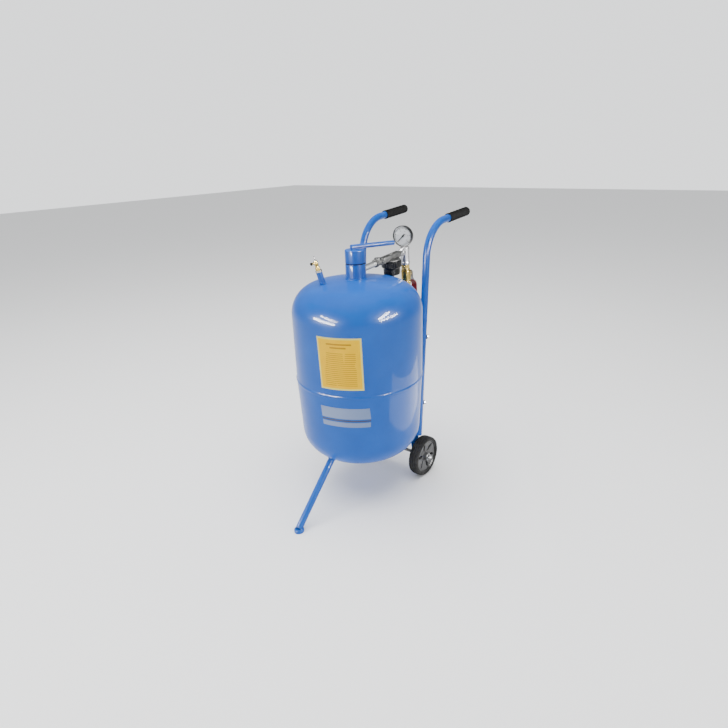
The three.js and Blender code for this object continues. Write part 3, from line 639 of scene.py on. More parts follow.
def build_tank():
    hole = NECK_RADIUS + 0.2
    outer = head(RADIUS, KNUCKLE, HEAD, SHOULDER_Z, 1, hole)
    inner = head(RADIUS - WALL, KNUCKLE - WALL, HEAD - WALL, SHOULDER_Z, 1, hole)[::-1]
    edge = SEAM_Z + SEAM_GAP
    straight = [(RADIUS, edge + (SHOULDER_Z - edge) * i / 12) for i in range(12)]
    upper = turned(straight + outer + inner + [(RADIUS - WALL, edge)], TANK, 160)
    fine("upper_shell", BLUE, upper)

    hole = 11.5
    outer = head(LOWER_RADIUS, KNUCKLE, HEAD, LOWER_TANGENT_Z, -1, hole)[::-1]
    inner = head(LOWER_RADIUS - WALL, KNUCKLE - WALL, HEAD - WALL, LOWER_TANGENT_Z, -1, hole)
    edge = SEAM_Z - SEAM_GAP
    drop = edge - LOWER_TANGENT_Z
    flare = RADIUS - LOWER_RADIUS
    taper = [(LOWER_RADIUS + flare * i / 12, LOWER_TANGENT_Z + drop * i / 12) for i in range(1, 12)]
    lower = turned(outer + taper + [(RADIUS, edge), (RADIUS - WALL, edge)] + inner, TANK, 160)
    fine("lower_shell", BLUE, lower)

    def ripple(r, z, a):
        crest = abs(sin(a * 180))
        rough = noise.noise(Vector((cos(a), sin(a), 0)) * 9)
        return r + (0.35 * crest - 0.15 + 0.25 * rough) * (r > RADIUS + 0.5)

    half_bead = [(-1, 4.6), (0.1, 4.6), (0.6, 3.4), (1.0, 1.6), (1.15, 0)]
    bead = [(RADIUS + r, SEAM_Z - z) for r, z in half_bead]
    bead += [(RADIUS + r, SEAM_Z + z) for r, z in half_bead[-2::-1]]
    fine("girth_weld", BLUE, turned(bead, TANK, 720, ripple, sharp=60))

    neck = turned([(21.5, TOP_Z - 4.5), (NECK_RADIUS, TOP_Z - 4.5), (NECK_RADIUS, NECK_TOP, 1.0),
                   (21.5, NECK_TOP, 1.0)], TANK, FINE)
    fine("filler_neck", BLUE, neck)
    weld("neck_weld", circle(NECK_RADIUS, TOP_Z - 0.4, 72), 2.6)

    boss = raised([(7.3, -11, 0.5), (11, -11, 1), (11, 5), (7.3, 5)], BOTTOM_Z)
    fine("drain_boss", BLUE, turned(boss, TANK, 48))
    weld("drain_weld", circle(11, BOTTOM_Z + 0.4, 40), 1.8)
    shank = turned(raised([(0, -12), (7, -12), (7, 0), (0, 0)], BOTTOM_Z), TANK, 40)
    key = nut(17, BOTTOM_Z - 19.3, BOTTOM_Z - 11.5, TANK)
    fine("drain_plug", BRASS, shank, key)


def wall_patch(corners, thickness=0.5, columns=28, rows=16):
    """A thin sheet on the tank's wall between four (degrees, z) corners, with UVs over it."""
    (a0, z0), (a1, z1), (a2, z2), (a3, z3) = corners
    vertices, faces, places = [], [], []
    for lift in (0.15, 0.15 + thickness):
        for j in range(rows + 1):
            for i in range(columns + 1):
                u, v = i / columns, j / rows
                angle = (a0 * (1 - u) + a1 * u) * (1 - v) + (a3 * (1 - u) + a2 * u) * v
                z = (z0 * (1 - u) + z1 * u) * (1 - v) + (z3 * (1 - u) + z2 * u) * v
                r = tank_radius(z) + lift
                a = radians(angle - 90)
                vertices.append((r * cos(a), r * sin(a), z))
                places.append((u, v))
    width = columns + 1
    layer = width * (rows + 1)
    for j in range(rows):
        for i in range(columns):
            a = j * width + i
            faces.append((a, a + width, a + width + 1, a + 1))
            faces.append((layer + a, layer + a + 1, layer + a + width + 1, layer + a + width))
    rim = ([i for i in range(columns)] + [j * width + columns for j in range(rows)]
           + [rows * width + i for i in range(columns, 0, -1)] + [j * width for j in range(rows, 0, -1)])
    for a, b in zip(rim, rim[1:] + rim[:1]):
        faces.append((a, b, layer + b, layer + a))
    obj = make(vertices, faces, TANK)
    sheet = obj.data.uv_layers.new(name="sheet")
    for loop in obj.data.loops:
        sheet.data[loop.index].uv = places[loop.vertex_index]
    return obj


def build_films():
    fine("caution_label", YELLOW, wall_patch([(5, 394), (42, 394), (41, 535), (3, 535)]))
    upper = wall_patch([(3, 309), (47, 309), (46, 341), (2.5, 341)])
    lower = wall_patch([(3.5, 285), (46.5, 285), (46.8, 299), (3.2, 299)])
    fine("stripe_decal", SILVER, upper, lower)
    line = wall_patch([(3, 302.5), (47, 302.5), (47, 305.5), (3, 305.5)])
    piece("stripe_line", INK, line, slot="silver_film")


# ---- filler cap
def build_cap():
    ring = turned([(21.3, 685.3), (26.5, 685.3, 0.6), (26.5, 687.7, 0.6), (21.3, 687.7)], TANK, FINE)
    fine("cap_gasket", GRIP_RUBBER, ring, body="cap_seal")
    cap = turned([
        (0, CAP_TOP - 8), (16.8, CAP_TOP - 8), (16.8, NECK_TOP - 9), (20.8, NECK_TOP - 9, 1),
        (20.8, CAP_BOTTOM), (NECK_RADIUS - 0.6, CAP_BOTTOM, 0.4), (NECK_RADIUS, CAP_BOTTOM + 1.2, 0.5),
        (NECK_RADIUS, CAP_TOP - 1.6, 1.4), (NECK_RADIUS - 1.6, CAP_TOP, 1.0), (0, CAP_TOP)], TANK, FINE)
    fine("fill_cap", BLUE, cap, body="cap")
    azimuth = radians(62)
    along = Vector((cos(azimuth), sin(azimuth), 0))
    where = metres(place(along * -12 + Vector((0, 0, CAP_TOP + 6.7)), along))
    lever = turned([(0, 0), (6.4, 0, 1.2), (6.4, 129, 3.4), (0, 129)], where, 40, steps=6)
    fine("cap_lever", BLUE, lever, body="cap")
    across = Vector((-along.y, along.x, 0))
    beads = []
    for side in (-1, 1):
        start = across * side * 4.6
        path = [along * d + start + Vector((0, 0, CAP_TOP + 1.2)) for d in range(-9, 25, 2)]
        beads.append(weld(f"lever_weld_{side + 1}", path, 1.9, closed=False))
    for bead in beads:
        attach(bead, "cap")


# ---- relief and bleed fitting
def build_relief():
    axis = Vector(JOINTS["relief_pull"]["axis"]).normalized()
    arm_at, arm_out = joint_place("bleed_screw_turn")
    socket, width = 34, 8.4
    nut_top = socket + 6
    body_top = nut_top + 27
    arm_reach = 10.3
    # The fitting's base on the dome is found back down its own axis from the bleed arm.
    base = arm_at - TANK.translation - arm_out * arm_reach * MM - axis * (nut_top + 20) * MM
    where = TANK @ Matrix.Translation(base) @ place(direction=axis)
    fine("relief_socket", BLUE, turned([(4, -3), (width, -3), (width, socket, 0.8), (4, socket)], where, 48))
    start = base / MM + axis * 25
    facing = place(direction=axis).to_3x3()
    weld("relief_weld", [meets_tank(start + facing @ p, -axis) for p in circle(width, 0, 32)], 1.7)
    fine("relief_nut", ZINC, nut(17, socket + 0.3, nut_top - 0.7, where, bore=4.4))

    thread = turned(thread_profile(3.6, socket - 6, nut_top + 1, 0.9), where, 32)
    key = nut(12, nut_top, nut_top + 8, where)
    waist = turned(raised([(0, 7), (5.2, 7, 0.5), (4.4, 12, 1.5), (5.8, 14.5, 0.6)], nut_top)
                   + raised([(5.8, -6, 0.5), (5.0, -5.2), (5.4, -4.2, 0.4), (4.8, -1, 0.8), (1.5, -1),
                             (0, -3)], body_top), where, 48)
    arm = turned([(0, 0), (3.4, 0), (3.4, 6.6, 0.4), (2.7, 7), (2.7, 9.9, 0.4), (0, 9.9)],
                 Matrix.Translation(arm_at - arm_out * arm_reach * MM) @ place(direction=arm_out), 32)
    fine("relief_body", BRASS, thread, key, waist, arm)

    def knurl(r, z, a):
        return r - 0.35 * wave(a * 16) if r > 3.5 else r

    knob = turned([(0, 0.3), (3.6, 0.3, 0.3), (4.0, 1.0), (4.0, 4.8, 0.4), (3.0, 5.7, 0.5), (0, 5.8)],
                  Matrix.Translation(arm_at - arm_out * 0.3 * MM) @ place(direction=arm_out), FINE, knurl)
    fine("bleed_screw", BLACK, knob, body="bleed_screw")

    pin = turned(raised([(0, -8), (1.1, -8), (1.1, -0.7), (3, -0.7, 0.4), (3, 1.2, 0.6), (1.1, 1.6), (1.1, 3),
                         (0, 3)], body_top), where, 32)
    loop = [Vector((0, 4.3 * cos(a), body_top + 6.3 + 4.3 * sin(a))) for a in around(48)]
    facing = Matrix.Translation(where.translation) @ axes_of(-arm_out, axis.cross(-arm_out), axis)
    eye = swept(loop, 0.95, facing, closed=True, sides=16)
    fine("relief_ring", STEEL, pin, eye, body="relief_pin")


def thread_profile(radius, low, high, pitch):
    """A turned thread's outline from low to high, as a saw of shallow crests on a solid core."""
    turns = max(1, int((high - low) / pitch))
    root = radius - pitch * 0.38
    points = [(0, low)]
    for i in range(turns):
        z = low + (high - low) * i / turns
        points += [(root, z), (radius, z + (high - low) / turns * 0.5)]
    return points + [(root, high), (0, high)]


# ---- handle tubes, grips and brackets
def tube_y(z):
    return 144 + TUBE_LEAN * (z - 152)


def handle_path(end_y):
    """The tube's centre line: a straight run, one bend and a straight end."""
    start = pi / 2 - atan2(TUBE_LEAN, 1)
    centre_y = tube_y(BEND_START_Z) + BEND_RADIUS * sin(start)
    centre_z = BEND_START_Z - BEND_RADIUS * cos(start)
    points = []
    for i in range(25):
        z = 136 + (BEND_START_Z - 136) * i / 24
        points.append(Vector((0, tube_y(z), z)))
    for i in range(1, 33):
        a = start + (GRIP_RISE - start) * i / 32
        points.append(Vector((0, centre_y - BEND_RADIUS * sin(a), centre_z + BEND_RADIUS * cos(a))))
    last = points[-1]
    for i in range(1, 9):
        run = (end_y - last.y) * i / 8
        points.append(Vector((0, last.y + run, last.z + run * tan(GRIP_RISE))))
    return points


def build_handle(side, name):
    shift = metres(Matrix.Translation((side * TUBE_X, 0, 0)))
    tube = swept(handle_path(TUBE_END_Y - 3.5), TUBE_RADIUS, shift, hollow=8.6, sides=40)
    fine(f"handle_tube_{name}", BLUE, tube)

    tip = handle_path(TUBE_END_Y)[-1]
    along = Vector((0, cos(GRIP_RISE), sin(GRIP_RISE)))
    where = metres(place((side * TUBE_X, tip.y, tip.z), along))
    knob_row = 8.6

    def ribbed(r, z, a):
        """Rows of knobs with grooves between them."""
        if r < 12.5 or z < -109 or z > -6:
            return r
        shifted = pi if int((z + 200) / knob_row + 0.5) % 2 else 0
        return r - 1.7 * wave(2 * pi * z / knob_row) ** 2 - 0.9 * wave(a * 10 + shifted) ** 3

    long_side = [(13.4, -109 + 103 * i / 132) for i in range(133)]
    outline = ([(11.0, -116), (12.9, -116, 0.8), (13.5, -114.5, 0.6), (13.5, -111, 0.8), (12.8, -110)]
               + long_side + [(13.2, -4.5, 0.8), (12.2, -1.2, 1.5), (8.5, 1.3, 1.5), (3.2, 1.4), (2.6, 0.6),
                              (0, 0.6), (0, -1.0), (11.0, -1.0)])
    fine(f"grip_{name}", GRIP_RUBBER, turned(outline, where, 112, ribbed, sharp=50))

    for level, z in (("upper", 450), ("lower", 242)):
        build_bracket(side, name, level, z)


def build_bracket(side, name, level, z):
    """A folded saddle welded to the tank, and the bolt that holds the tube in it."""
    out = Vector((side * TUBE_X, tube_y(z), 0))
    reach = out.length
    out.normalize()
    tangent = UP.cross(out)
    where = metres(Matrix((
        (tangent.x, 0, out.x, 0), (tangent.y, 0, out.y, 0), (0, 1, 0, z), (0, 0, 0, 1))))
    seat = reach - TUBE_RADIUS
    wall = tank_radius(z) + 0.4
    half, tall = 13.0, 21
    outline = [(-half, wall - 0.8), (half, wall - 0.8), (half, reach - 3.6)]
    for i in range(8, -1, -1):
        a = radians(200 + 140 * i / 8)
        outline.append((11.2 * cos(a), reach + 11.2 * sin(a)))
    outline.append((-half, reach - 3.6))
    stand = where @ upended(0) @ Matrix.Translation((0, 0, -tall * MM))
    fine(f"tube_bracket_{level}_{name}", BLUE, slab(outline, 2 * tall, stand, 1.0))

    face = reach + TUBE_RADIUS + 0.4
    washer = turned(raised([(3.3, 0), (7, 0, 0.3), (7, 1.4, 0.4), (3.3, 1.4)], face), where, 40)
    bolt_head = nut(10, face + 1.4, face + 6.4, where, foot_chamfer=False)
    shank = turned([(0, seat - 1), (3.1, seat - 1), (3.1, face + 2), (0, face + 2)], where, 24)
    fine(f"bracket_bolt_{level}_{name}", STEEL, washer, bolt_head, shank)

    corners = [(-half, -tall), (half, -tall), (half, tall), (-half, tall)]
    path = []
    for (x0, y0), (x1, y1) in zip(corners, corners[1:] + corners[:1]):
        for s in range(6):
            x, y = x0 + (x1 - x0) * s / 6, y0 + (y1 - y0) * s / 6
            start = out * (wall + 12) + tangent * x + Vector((0, 0, z + y))
            path.append(meets_tank(start, -out))
    weld(f"bracket_weld_{level}_{name}", path, 1.5)


# ---- running gear
def build_axle():
    axle = middle("axle_rod")
    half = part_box("axle_rod")[1].x / MM
    where = Matrix.Translation((0, axle.y, axle.z)) @ Matrix.Rotation(pi / 2, 4, "Y")
    rod = turned([(0, -half), (5, -half, 0.6), (5, half, 0.6), (0, half)], where, 40)
    collars = []
    for low, high in ((-108.6, -101.6), (101.6, 108.6)):
        collars.append(turned([(5, low), (8, low, 0.6), (8, high, 0.6), (5, high)], where, 40))
    piece("axle_rod_fine_set", DARK_STEEL, rod, *collars, nodes=("axle_rod",))


def build_axle_bracket(side, name):
    """A flat plate from the axle up to the tank and the tube, trimmed to the tank's curve."""
    wheel_y = middle("axle_rod").y / MM - TANK_Y / MM
    x = side * 99.2
    outline = []
    for i in range(17):
        a = pi + pi * i / 16
        outline.append((wheel_y + 15 * cos(a), WHEEL_RADIUS + 15 * sin(a)))
    outline += [(161, 150), (158, 205)]
    curve = []
    for i in range(15):
        z = 205 - 55 * i / 14
        wall_y = sqrt(max(tank_radius(z) ** 2 - (abs(x) + 2) ** 2, 0)) + 0.8
        curve.append((max(wall_y, 110) if z < 160 else wall_y, z))
    outline += curve
    stand = Matrix(((0, 0, 1, (x - 2) * MM), (1, 0, 0, 0), (0, 1, 0, 0), (0, 0, 0, 1)))
    plate = slab(outline, 4, TANK @ stand, 0.7, holes=[(wheel_y, WHEEL_RADIUS, 5.4)])
    fine(f"axle_bracket_{name}", BLUE, plate)
    path = [Vector((x + side * 2, py, pz)) for py, pz in curve if pz > 158]
    weld(f"axle_bracket_weld_{name}", path, 1.6, closed=False)
    seam = [Vector((x + side * 1.4, tube_y(z) + 7.5, z)) for z in range(142, 202, 3)]
    weld(f"axle_tube_weld_{name}", seam, 1.5, closed=False)


def build_wheel(side, name):
    body = f"wheel_{name}"
    point, _ = joint_place(f"{body}_spin")
    outwards = Matrix(((0, 0, side, 0), (0, 1, 0, 0), (-side, 0, 0, 0), (0, 0, 0, 1)))
    where = Matrix.Translation(point) @ outwards
    half = WHEEL_WIDTH / 2

    def tread(r, z, a):
        """Ring grooves and short cross cuts on the tyre's running face."""
        if r < WHEEL_RADIUS - 3.2:
            return r
        cross = (a * 40 / pi + (0.5 if z > 0 else 0)) % 1
        cut = 1.4 if cross < 0.2 and abs(z) > 9.5 else 0.0
        ring = 2.4 if abs(abs(z) - 6.6) < 1.3 or abs(z) < 1.3 else 0.0
        return r - max(cut, ring)

    across = [-14.4 + 28.8 * i / 72 for i in range(73)]
    face = [(WHEEL_RADIUS - 2.0 * (abs(z) / 14.6) ** 4, z) for z in across]
    outer_side = [(60.2, half - 0.9, 1.2), (58, half), (56.4, half - 0.2, 0.5), (55.6, half - 1.2),
                  (53.1, half - 1.4)]
    inner_side = [(r, -z, *soft) for r, z, *soft in outer_side[::-1]]
    tyre = turned(inner_side + face + outer_side, where, 576, tread, sharp=50)
    fine(f"tyre_{name}", TYRE_RUBBER, tyre, body=body)

    band = turned([(52.4, 3 - half, 0.6), (52.4, half - 3, 0.6), (49.8, half - 3.2, 0.8), (47.7, 11, 0.8),
                   (46.6, 6), (48.4, 3.2 - half, 0.6)], where, FINE)
    hub = turned([(8.4, -17), (12.4, -17, 0.6), (13, -6, 1), (14, 0.6, 1), (15.6, 1.4), (15.6, 6),
                  (14, 6.6, 1), (13, 10, 1), (12.4, 17, 0.6), (8.4, 17)], where, 72)
    web = wheel_web(where)
    ribs = []
    for k in range(6):
        turn = where @ Matrix.Rotation(radians(WINDOW_TURN + 30 + 60 * k), 4, "Z")
        stand = turn @ Matrix(((1, 0, 0, 0), (0, 0, 1, -1.2 * MM), (0, -1, 0, 0), (0, 0, 0, 1)))
        ribs.append(slab([(12.6, -2), (47, -7), (47, 4), (36, 2), (12.6, 10)], 2.4, stand, 0.5))
    fine(f"rim_{name}", RIM_PLASTIC, hub, web, body=body)
    # Painted shade: the band and ribs inside the wheel belong to the same grey moulding as the rim, but are
    # given black plastic so the windows through the web look dark.
    piece(f"rim_painted_shade_{name}", BLACK, band, *ribs, body=body, slot="wheel_plastic")
    bush = turned([(5.5, -17), (8.2, -17, 0.3), (8.2, 17, 0.3), (5.5, 17)], where, 48)
    fine(f"bush_{name}", BRASS, bush, body=body)

    base = 17.5
    washer = turned(raised([(5.3, 0), (11, 0, 0.4), (11, 1.9, 0.5), (5.3, 1.9)], base), where, 48)
    key = nut(15, base + 1.9, base + 7.8, where, foot_chamfer=False)
    dome = turned(raised([(0, 7), (6.4, 7), (6.3, 8.6, 0.6), (5.6, 11.2, 1.4), (3.2, 13.2, 1.4), (0, 13.6)],
                         base), where, 48, steps=5)
    fine(f"hub_nut_{name}", STEEL, washer, key, dome)


def wheel_web(where):
    """The wheel's disc with its six kite-shaped windows."""
    disc = turned([(15, 1.2), (47.6, 6.1), (47.6, 11), (15, 6)], Matrix.Identity(4), FINE)
    kite = [(17.2, -2), (34, -5.9), (45.9, -1.6), (45.9, 1.6), (34, 5.9), (17.2, 2)]
    windows = []
    for k in range(6):
        turn = Matrix.Rotation(radians(WINDOW_TURN + 60 * k), 4, "Z")
        windows.append(slab(kite, 20, turn @ Matrix.Translation((0, 0, -5 * MM)), 0))
    tool = together(*windows)
    add_cut(disc, tool)
    add_bevel(disc, 0.7, 2)
    settle(disc)
    bpy.data.objects.remove(tool)
    disc.data.transform(where)
    return smooth(disc)


# ---- front leg
def build_leg():
    foot = Vector((0, -291.6, 10))
    top = Vector((0, -147, 148))
    radius = 9.6
    along = (top - foot).normalized()
    outside = top - along * 30
    length = (meets_tank(outside, along) - foot).length + 3
    where = metres(place(foot, along))
    leg = turned([(7.8, 3), (radius, 0, 0.3), (radius, length), (7.8, length)], where, 48)
    fine("front_leg", BLUE, leg)
    turn = place(direction=along).to_3x3()
    weld("leg_weld", [meets_tank(outside + turn @ p, along) for p in circle(radius, 0, 48)], 2.2)

    pad = turned([(0, 0), (14, 0, 0.8), (14, 7.2, 1.4), (11.5, 9.8, 1.6), (0, 9.8)],
                 metres(Matrix.Translation((0, foot.y, 0))), 56, steps=5)
    fine("foot_pad", BLUE, pad)
    weld("foot_weld", [Vector((10 * cos(a), foot.y + 0.8 + 12.2 * sin(a), 9.4)) for a in around(36)], 1.3)


# ---- air inlet line
LINE_POINT, LINE_AXIS = joint_place("ball_valve_turn")
LINE = (Matrix.Translation(LINE_POINT) @ Matrix.Rotation(atan2(LINE_AXIS.z, LINE_AXIS.y), 4, "X")
        @ Matrix.Translation((0, -COLUMN_Y * MM, -VALVE_Z * MM)))
ALONG = Matrix.Rotation(-pi / 2, 4, "X")  # takes a turned piece's +Z to the line's +Y


def on_line(y=0.0, z=0.0):
    return LINE @ Matrix.Translation((0, y * MM, z * MM))


PIPE = LINE @ ALONG
TRAP = on_line(TRAP_Y)
COLUMN = on_line(COLUMN_Y)


def build_pipe():
    radius = 8.6
    pipe = turned([(6.2, -6), (radius, -6), (radius, 57), (6.2, 57)], PIPE, 56)
    thread = turned(thread_profile(radius + 0.4, 49, 57.2, 1.8), PIPE, 48)
    collar = turned([(8.4, -1.0), (11.4, -1.0, 1.0), (10.6, 2.2, 1.0), (8.4, 3.6)], PIPE, 64,
                    lambda r, z, a: r + (0.3 * sin(a * 18) if r > 9 else 0))
    fine("neck_pipe", ZINC, pipe, thread, collar)

    first = nut(21, 57.3, 69, PIPE, sides=120)
    barrel = turned([(0, 66), (9.6, 66, 1), (10.4, 72, 3), (9.6, 84, 1), (0, 84)], PIPE, 56)
    last = nut(21, 82, 92, PIPE, sides=120)
    bonnet = turned([(0, 0), (8, 0), (8, 9.2, 1), (0, 9.2)], on_line(72), 48)
    top = nut(16, 9, 13.4, on_line(72), foot_chamfer=False)
    fine("check_valve", CAST, first, barrel, last, bonnet, top)


def build_trap():
    tall, across, start, end = 8.5, 9.5, 92.3, 180
    section = [(-across, -tall), (across, -tall), (across, tall), (-across, tall)]
    run = slab(section, end - start, PIPE @ Matrix.Translation((0, 0, start * MM)), 2.8)
    skirt = turned([(0, -4.7), (24, -4.7, 2), (26.8, -6.9, 1), (26.8, -9.4, 0.6), (0, -9.4)], TRAP, 72,
                   steps=5)
    plug = nut(9, tall - 1, tall + 1.6, TRAP, foot_chamfer=False)
    fine("trap_head", CAST, run, skirt, plug)

    def fluted(r, z, a):
        if r > 28.5 and -28 < z < -11.8:
            return r - 1.0 * wave(a * 32) ** 3
        if 24 < r < 25 and -48 < z < -32:
            return r - 0.35 * wave(a * 28) ** 2
        return r

    sides = [(29.5, -12.2 - 15.0 * i / 10) for i in range(11)]
    wall = [(24.5, -31.5 - 16.5 * i / 10) for i in range(11)]
    outline = ([(26, -9.9), (28.2, -9.9, 0.8), (29.4, -11.6, 0.8)] + sides
               + [(29, -28.6, 0.8), (25.6, -30.2, 0.6)] + wall
               + [(24.3, -50, 1.2), (21.6, -52, 1.0), (4.4, -52), (4.4, -49), (21.5, -49), (21.5, -30.5),
                  (26, -27.5)])
    fine("trap_bowl", BLACK, turned(outline, TRAP, 256, fluted, sharp=45))
    felt = turned([(4.6, -36), (12, -36, 1), (12, -12.4, 1), (4.6, -12.4)], TRAP, FINE,
                  lambda r, z, a: r - (0.8 * wave(a * 24) if r > 11 else 0))
    fine("trap_element", FELT, felt)

    stem = turned([(0, -56), (4, -56), (4, -46), (0, -46)], TRAP, 32)
    disc = turned([(0, -56.2), (6.5, -56.2, 0.6), (6.5, -52.8, 0.6), (0, -52.8)], TRAP, 80,
                  lambda r, z, a: r - (0.3 * wave(a * 20) if r > 6 else 0))
    wing = slab([(-6.4, -60.4), (6.4, -60.4), (6.4, -56.0), (-6.4, -56.0)], 3.2, TRAP @ upended(-1.6), 0.9)
    fine("drain_cock", BLACK, stem, disc, wing, body="drain_cock")


def build_tee():
    column = turned([(6, -40), (13.6, -40, 0.8), (13.6, -33.5, 0.8), (12.8, -32, 0.8), (12.8, 1.4, 0.8),
                     (13.6, 2.8, 0.8), (13.6, 11.4, 1.0), (6, 11.4)], COLUMN, 72)
    core = turned([(0, 7), (12, 7), (12, 10.8), (4.6, 10.8), (4.6, 8), (0, 8)], COLUMN, 48)
    branch = turned([(0, 180.3), (9, 180.3), (9, 190.6), (10.6, 191, 0.8), (10.6, 198, 1), (10.2, 199.4),
                     (10.2, 213), (0, 213)], PIPE, 56)
    fine("tee", CHROME, column, core, branch)


def build_gauge():
    """The dial gauge. Its own +Z points out of its face and its +Y up the column."""
    point, inward = joint_place("gauge_sweep")
    upright = LINE.to_3x3() @ UP
    where = Matrix.Translation(point) @ axes_of(upright.cross(-inward), upright, -inward)
    edge, front = GAUGE_RADIUS, GAUGE_FRONT
    case = turned(raised([
        (0, -18), (edge - 5, -18, 1.5), (edge - 1.6, -15.5, 1.5), (edge - 1.6, -6.4, 0.6),
        (edge - 0.5, -5.6, 0.6), (edge - 0.5, -4.2), (edge - 2.3, -4.2), (edge - 2.3, -15),
        (0, -15)], front), where, FINE)
    piece("gauge_shell", BLACK, case, nodes=("gauge_case",))
    foot = where @ Matrix.Translation((0, -21 * MM, 0)) @ Matrix.Rotation(pi / 2, 4, "X")
    stem = nut(13, 9.4, 13, foot)
    neck = turned([(0, -4), (6.6, -4), (5.6, 3), (5.6, 9.8), (0, 9.8)], foot, 40)
    piece("gauge_stem", STEEL, stem, neck)
    bezel = turned(raised([
        (edge - 2.2, -5.4), (edge - 0.1, -5.4, 0.5), (edge, -1.2, 0.9), (edge - 0.8, 0, 0.8),
        (edge - 2.2, -0.6, 0.4)], front), where, 120)
    piece("gauge_bezel", BLACK, bezel)
    face = raised([(1.6, -6.4), (edge - 2.4, -6.4), (edge - 2.4, -5.4), (1.6, -5.4)], front)
    fine("gauge_dial", DIAL, turned(face, where, FINE))
    lens = turned(raised([(0, -1.8), (edge - 2.5, -1.8), (edge - 2.5, -1.1), (22, -0.7), (12, -0.45),
                          (0, -0.4)], front), where, FINE)
    fine("gauge_lens", GLASS, lens)
    build_dial_marks(where)

    rest = Matrix.Rotation(radians(135), 4, "Z")  # from straight up to the zero mark, low on the left
    pointer = slab([(-2.6, -9), (2.6, -9), (2.2, 0), (1.2, 24), (-1.2, 24), (-2.2, 0)], 0.6,
                   where @ rest @ Matrix.Translation((0, 0, (front - 4.4) * MM)), 0.12)
    cap = turned(raised([(0, -4.8), (3.6, -4.8), (3.6, -3.2, 0.5), (0, -3.1)], front), where, 40)
    fine("gauge_needle", INK, pointer, cap, body="gauge_needle", slot="black_plastic")
    coil = []
    for i in range(60):
        a = radians(-80 + 250 * i / 59)
        coil.append(Vector((20 * cos(a), 20 * sin(a), front - 11)))
    fine("bourdon_tube", BRASS, swept(coil, 1.8, where, sides=20, side_hint=UP))


def build_dial_marks(where):
    """Raised ink on the dial: a scale of ticks, an arc and plain numbers."""
    low, high = GAUGE_FRONT - 5.38, GAUGE_FRONT - 5.15
    first, sweep = 225, 270
    marks = []
    for i in range(51):
        a = radians(first - sweep * i / 50)
        half, inner = (0.75, 20.2) if i % 10 == 0 else (0.35, 23.0 if i % 5 else 21.8)
        turn = where @ Matrix.Rotation(a, 4, "Z")
        rings = [[(r, -half, low), (r, half, low), (r, half, high), (r, -half, high)] for r in (inner, 26.2)]
        marks.append(make(*skin(rings), turn))
    rings = []
    for i in range(109):
        a = radians(first - sweep * i / 108)
        corners = ((26.0, low), (26.6, low), (26.6, high), (26.0, high))
        rings.append([(r * cos(a), r * sin(a), z) for r, z in corners])
    marks.append(make(*skin(rings), where))
    piece("dial_marks", INK, *marks)
    numbers = []
    for i in range(6):
        a = radians(first - sweep * i / 5)
        curve = bpy.data.curves.new("number", "FONT")
        curve.body = str(2 * i)
        curve.size = 5.6 * MM
        curve.align_x = "CENTER"
        curve.align_y = "CENTER"
        curve.extrude = 0.1 * MM
        text = linked(curve)
        graph = bpy.context.evaluated_depsgraph_get()
        mesh = bpy.data.meshes.new_from_object(text.evaluated_get(graph))
        bpy.data.objects.remove(text)
        mesh.transform(where @ Matrix.Translation((16 * cos(a) * MM, 16 * sin(a) * MM, (low + 0.12) * MM)))
        numbers.append(linked(mesh))
    piece("dial_numbers", INK, *numbers)


def build_valve():
    stem_at = on_line(COLUMN_Y, VALVE_Z) @ ALONG
    top, bottom, radius = -41, -102, 14.5
    upper = nut(24, top - 10.3, top - 0.3, COLUMN, bore=5.5, sides=120)
    lower = nut(27, bottom, bottom + 11, COLUMN, bore=5.5, sides=120)
    cavity = []
    for degrees in range(58, -59, -4):
        a = radians(degrees)
        cavity.append((10.4 * cos(a), VALVE_Z + 10.4 * sin(a)))
    barrel = turned([
        (5.5, bottom + 8), (12, bottom + 8), (12.2, bottom + 11.5, 1), (radius, bottom + 14, 2),
        (radius, VALVE_Z + 13, 2), (11.4, VALVE_Z + 17, 1.5), (11.0, top - 9), (5.5, top - 9)] + cavity,
        COLUMN, 72)
    ring = turned(raised([(11, 15.8), (13.2, 15.8, 0.5), (13.2, 18.6, 0.5), (11, 18.6)], VALVE_Z),
                  COLUMN, 64)
    boss = turned([(3.4, 8), (8, 8), (8, 20.6, 0.6), (3.4, 20.6)], stem_at, 48)
    packing = nut(14, 15, 20.9, stem_at, bore=3.4, foot_chamfer=False)
    fine("valve_body", BRASS, upper, lower, barrel, ring, boss, packing)

    spindle = turned([(0, 8), (2.9, 8), (2.9, 34, 0.5), (0, 34)], stem_at, 32)
    keeper = nut(9, 29.9, 33.8, stem_at, foot_chamfer=False)
    ball = turned([(5.4, 7.2), (7.4, 5.1, 2), (9, 0, 4), (7.4, -5.1, 2), (5.4, -7.2)],
                  on_line(COLUMN_Y, VALVE_Z), 48)
    fine("valve_stem", STEEL, spindle, keeper, ball, body="ball_valve_lever")
    build_lever()


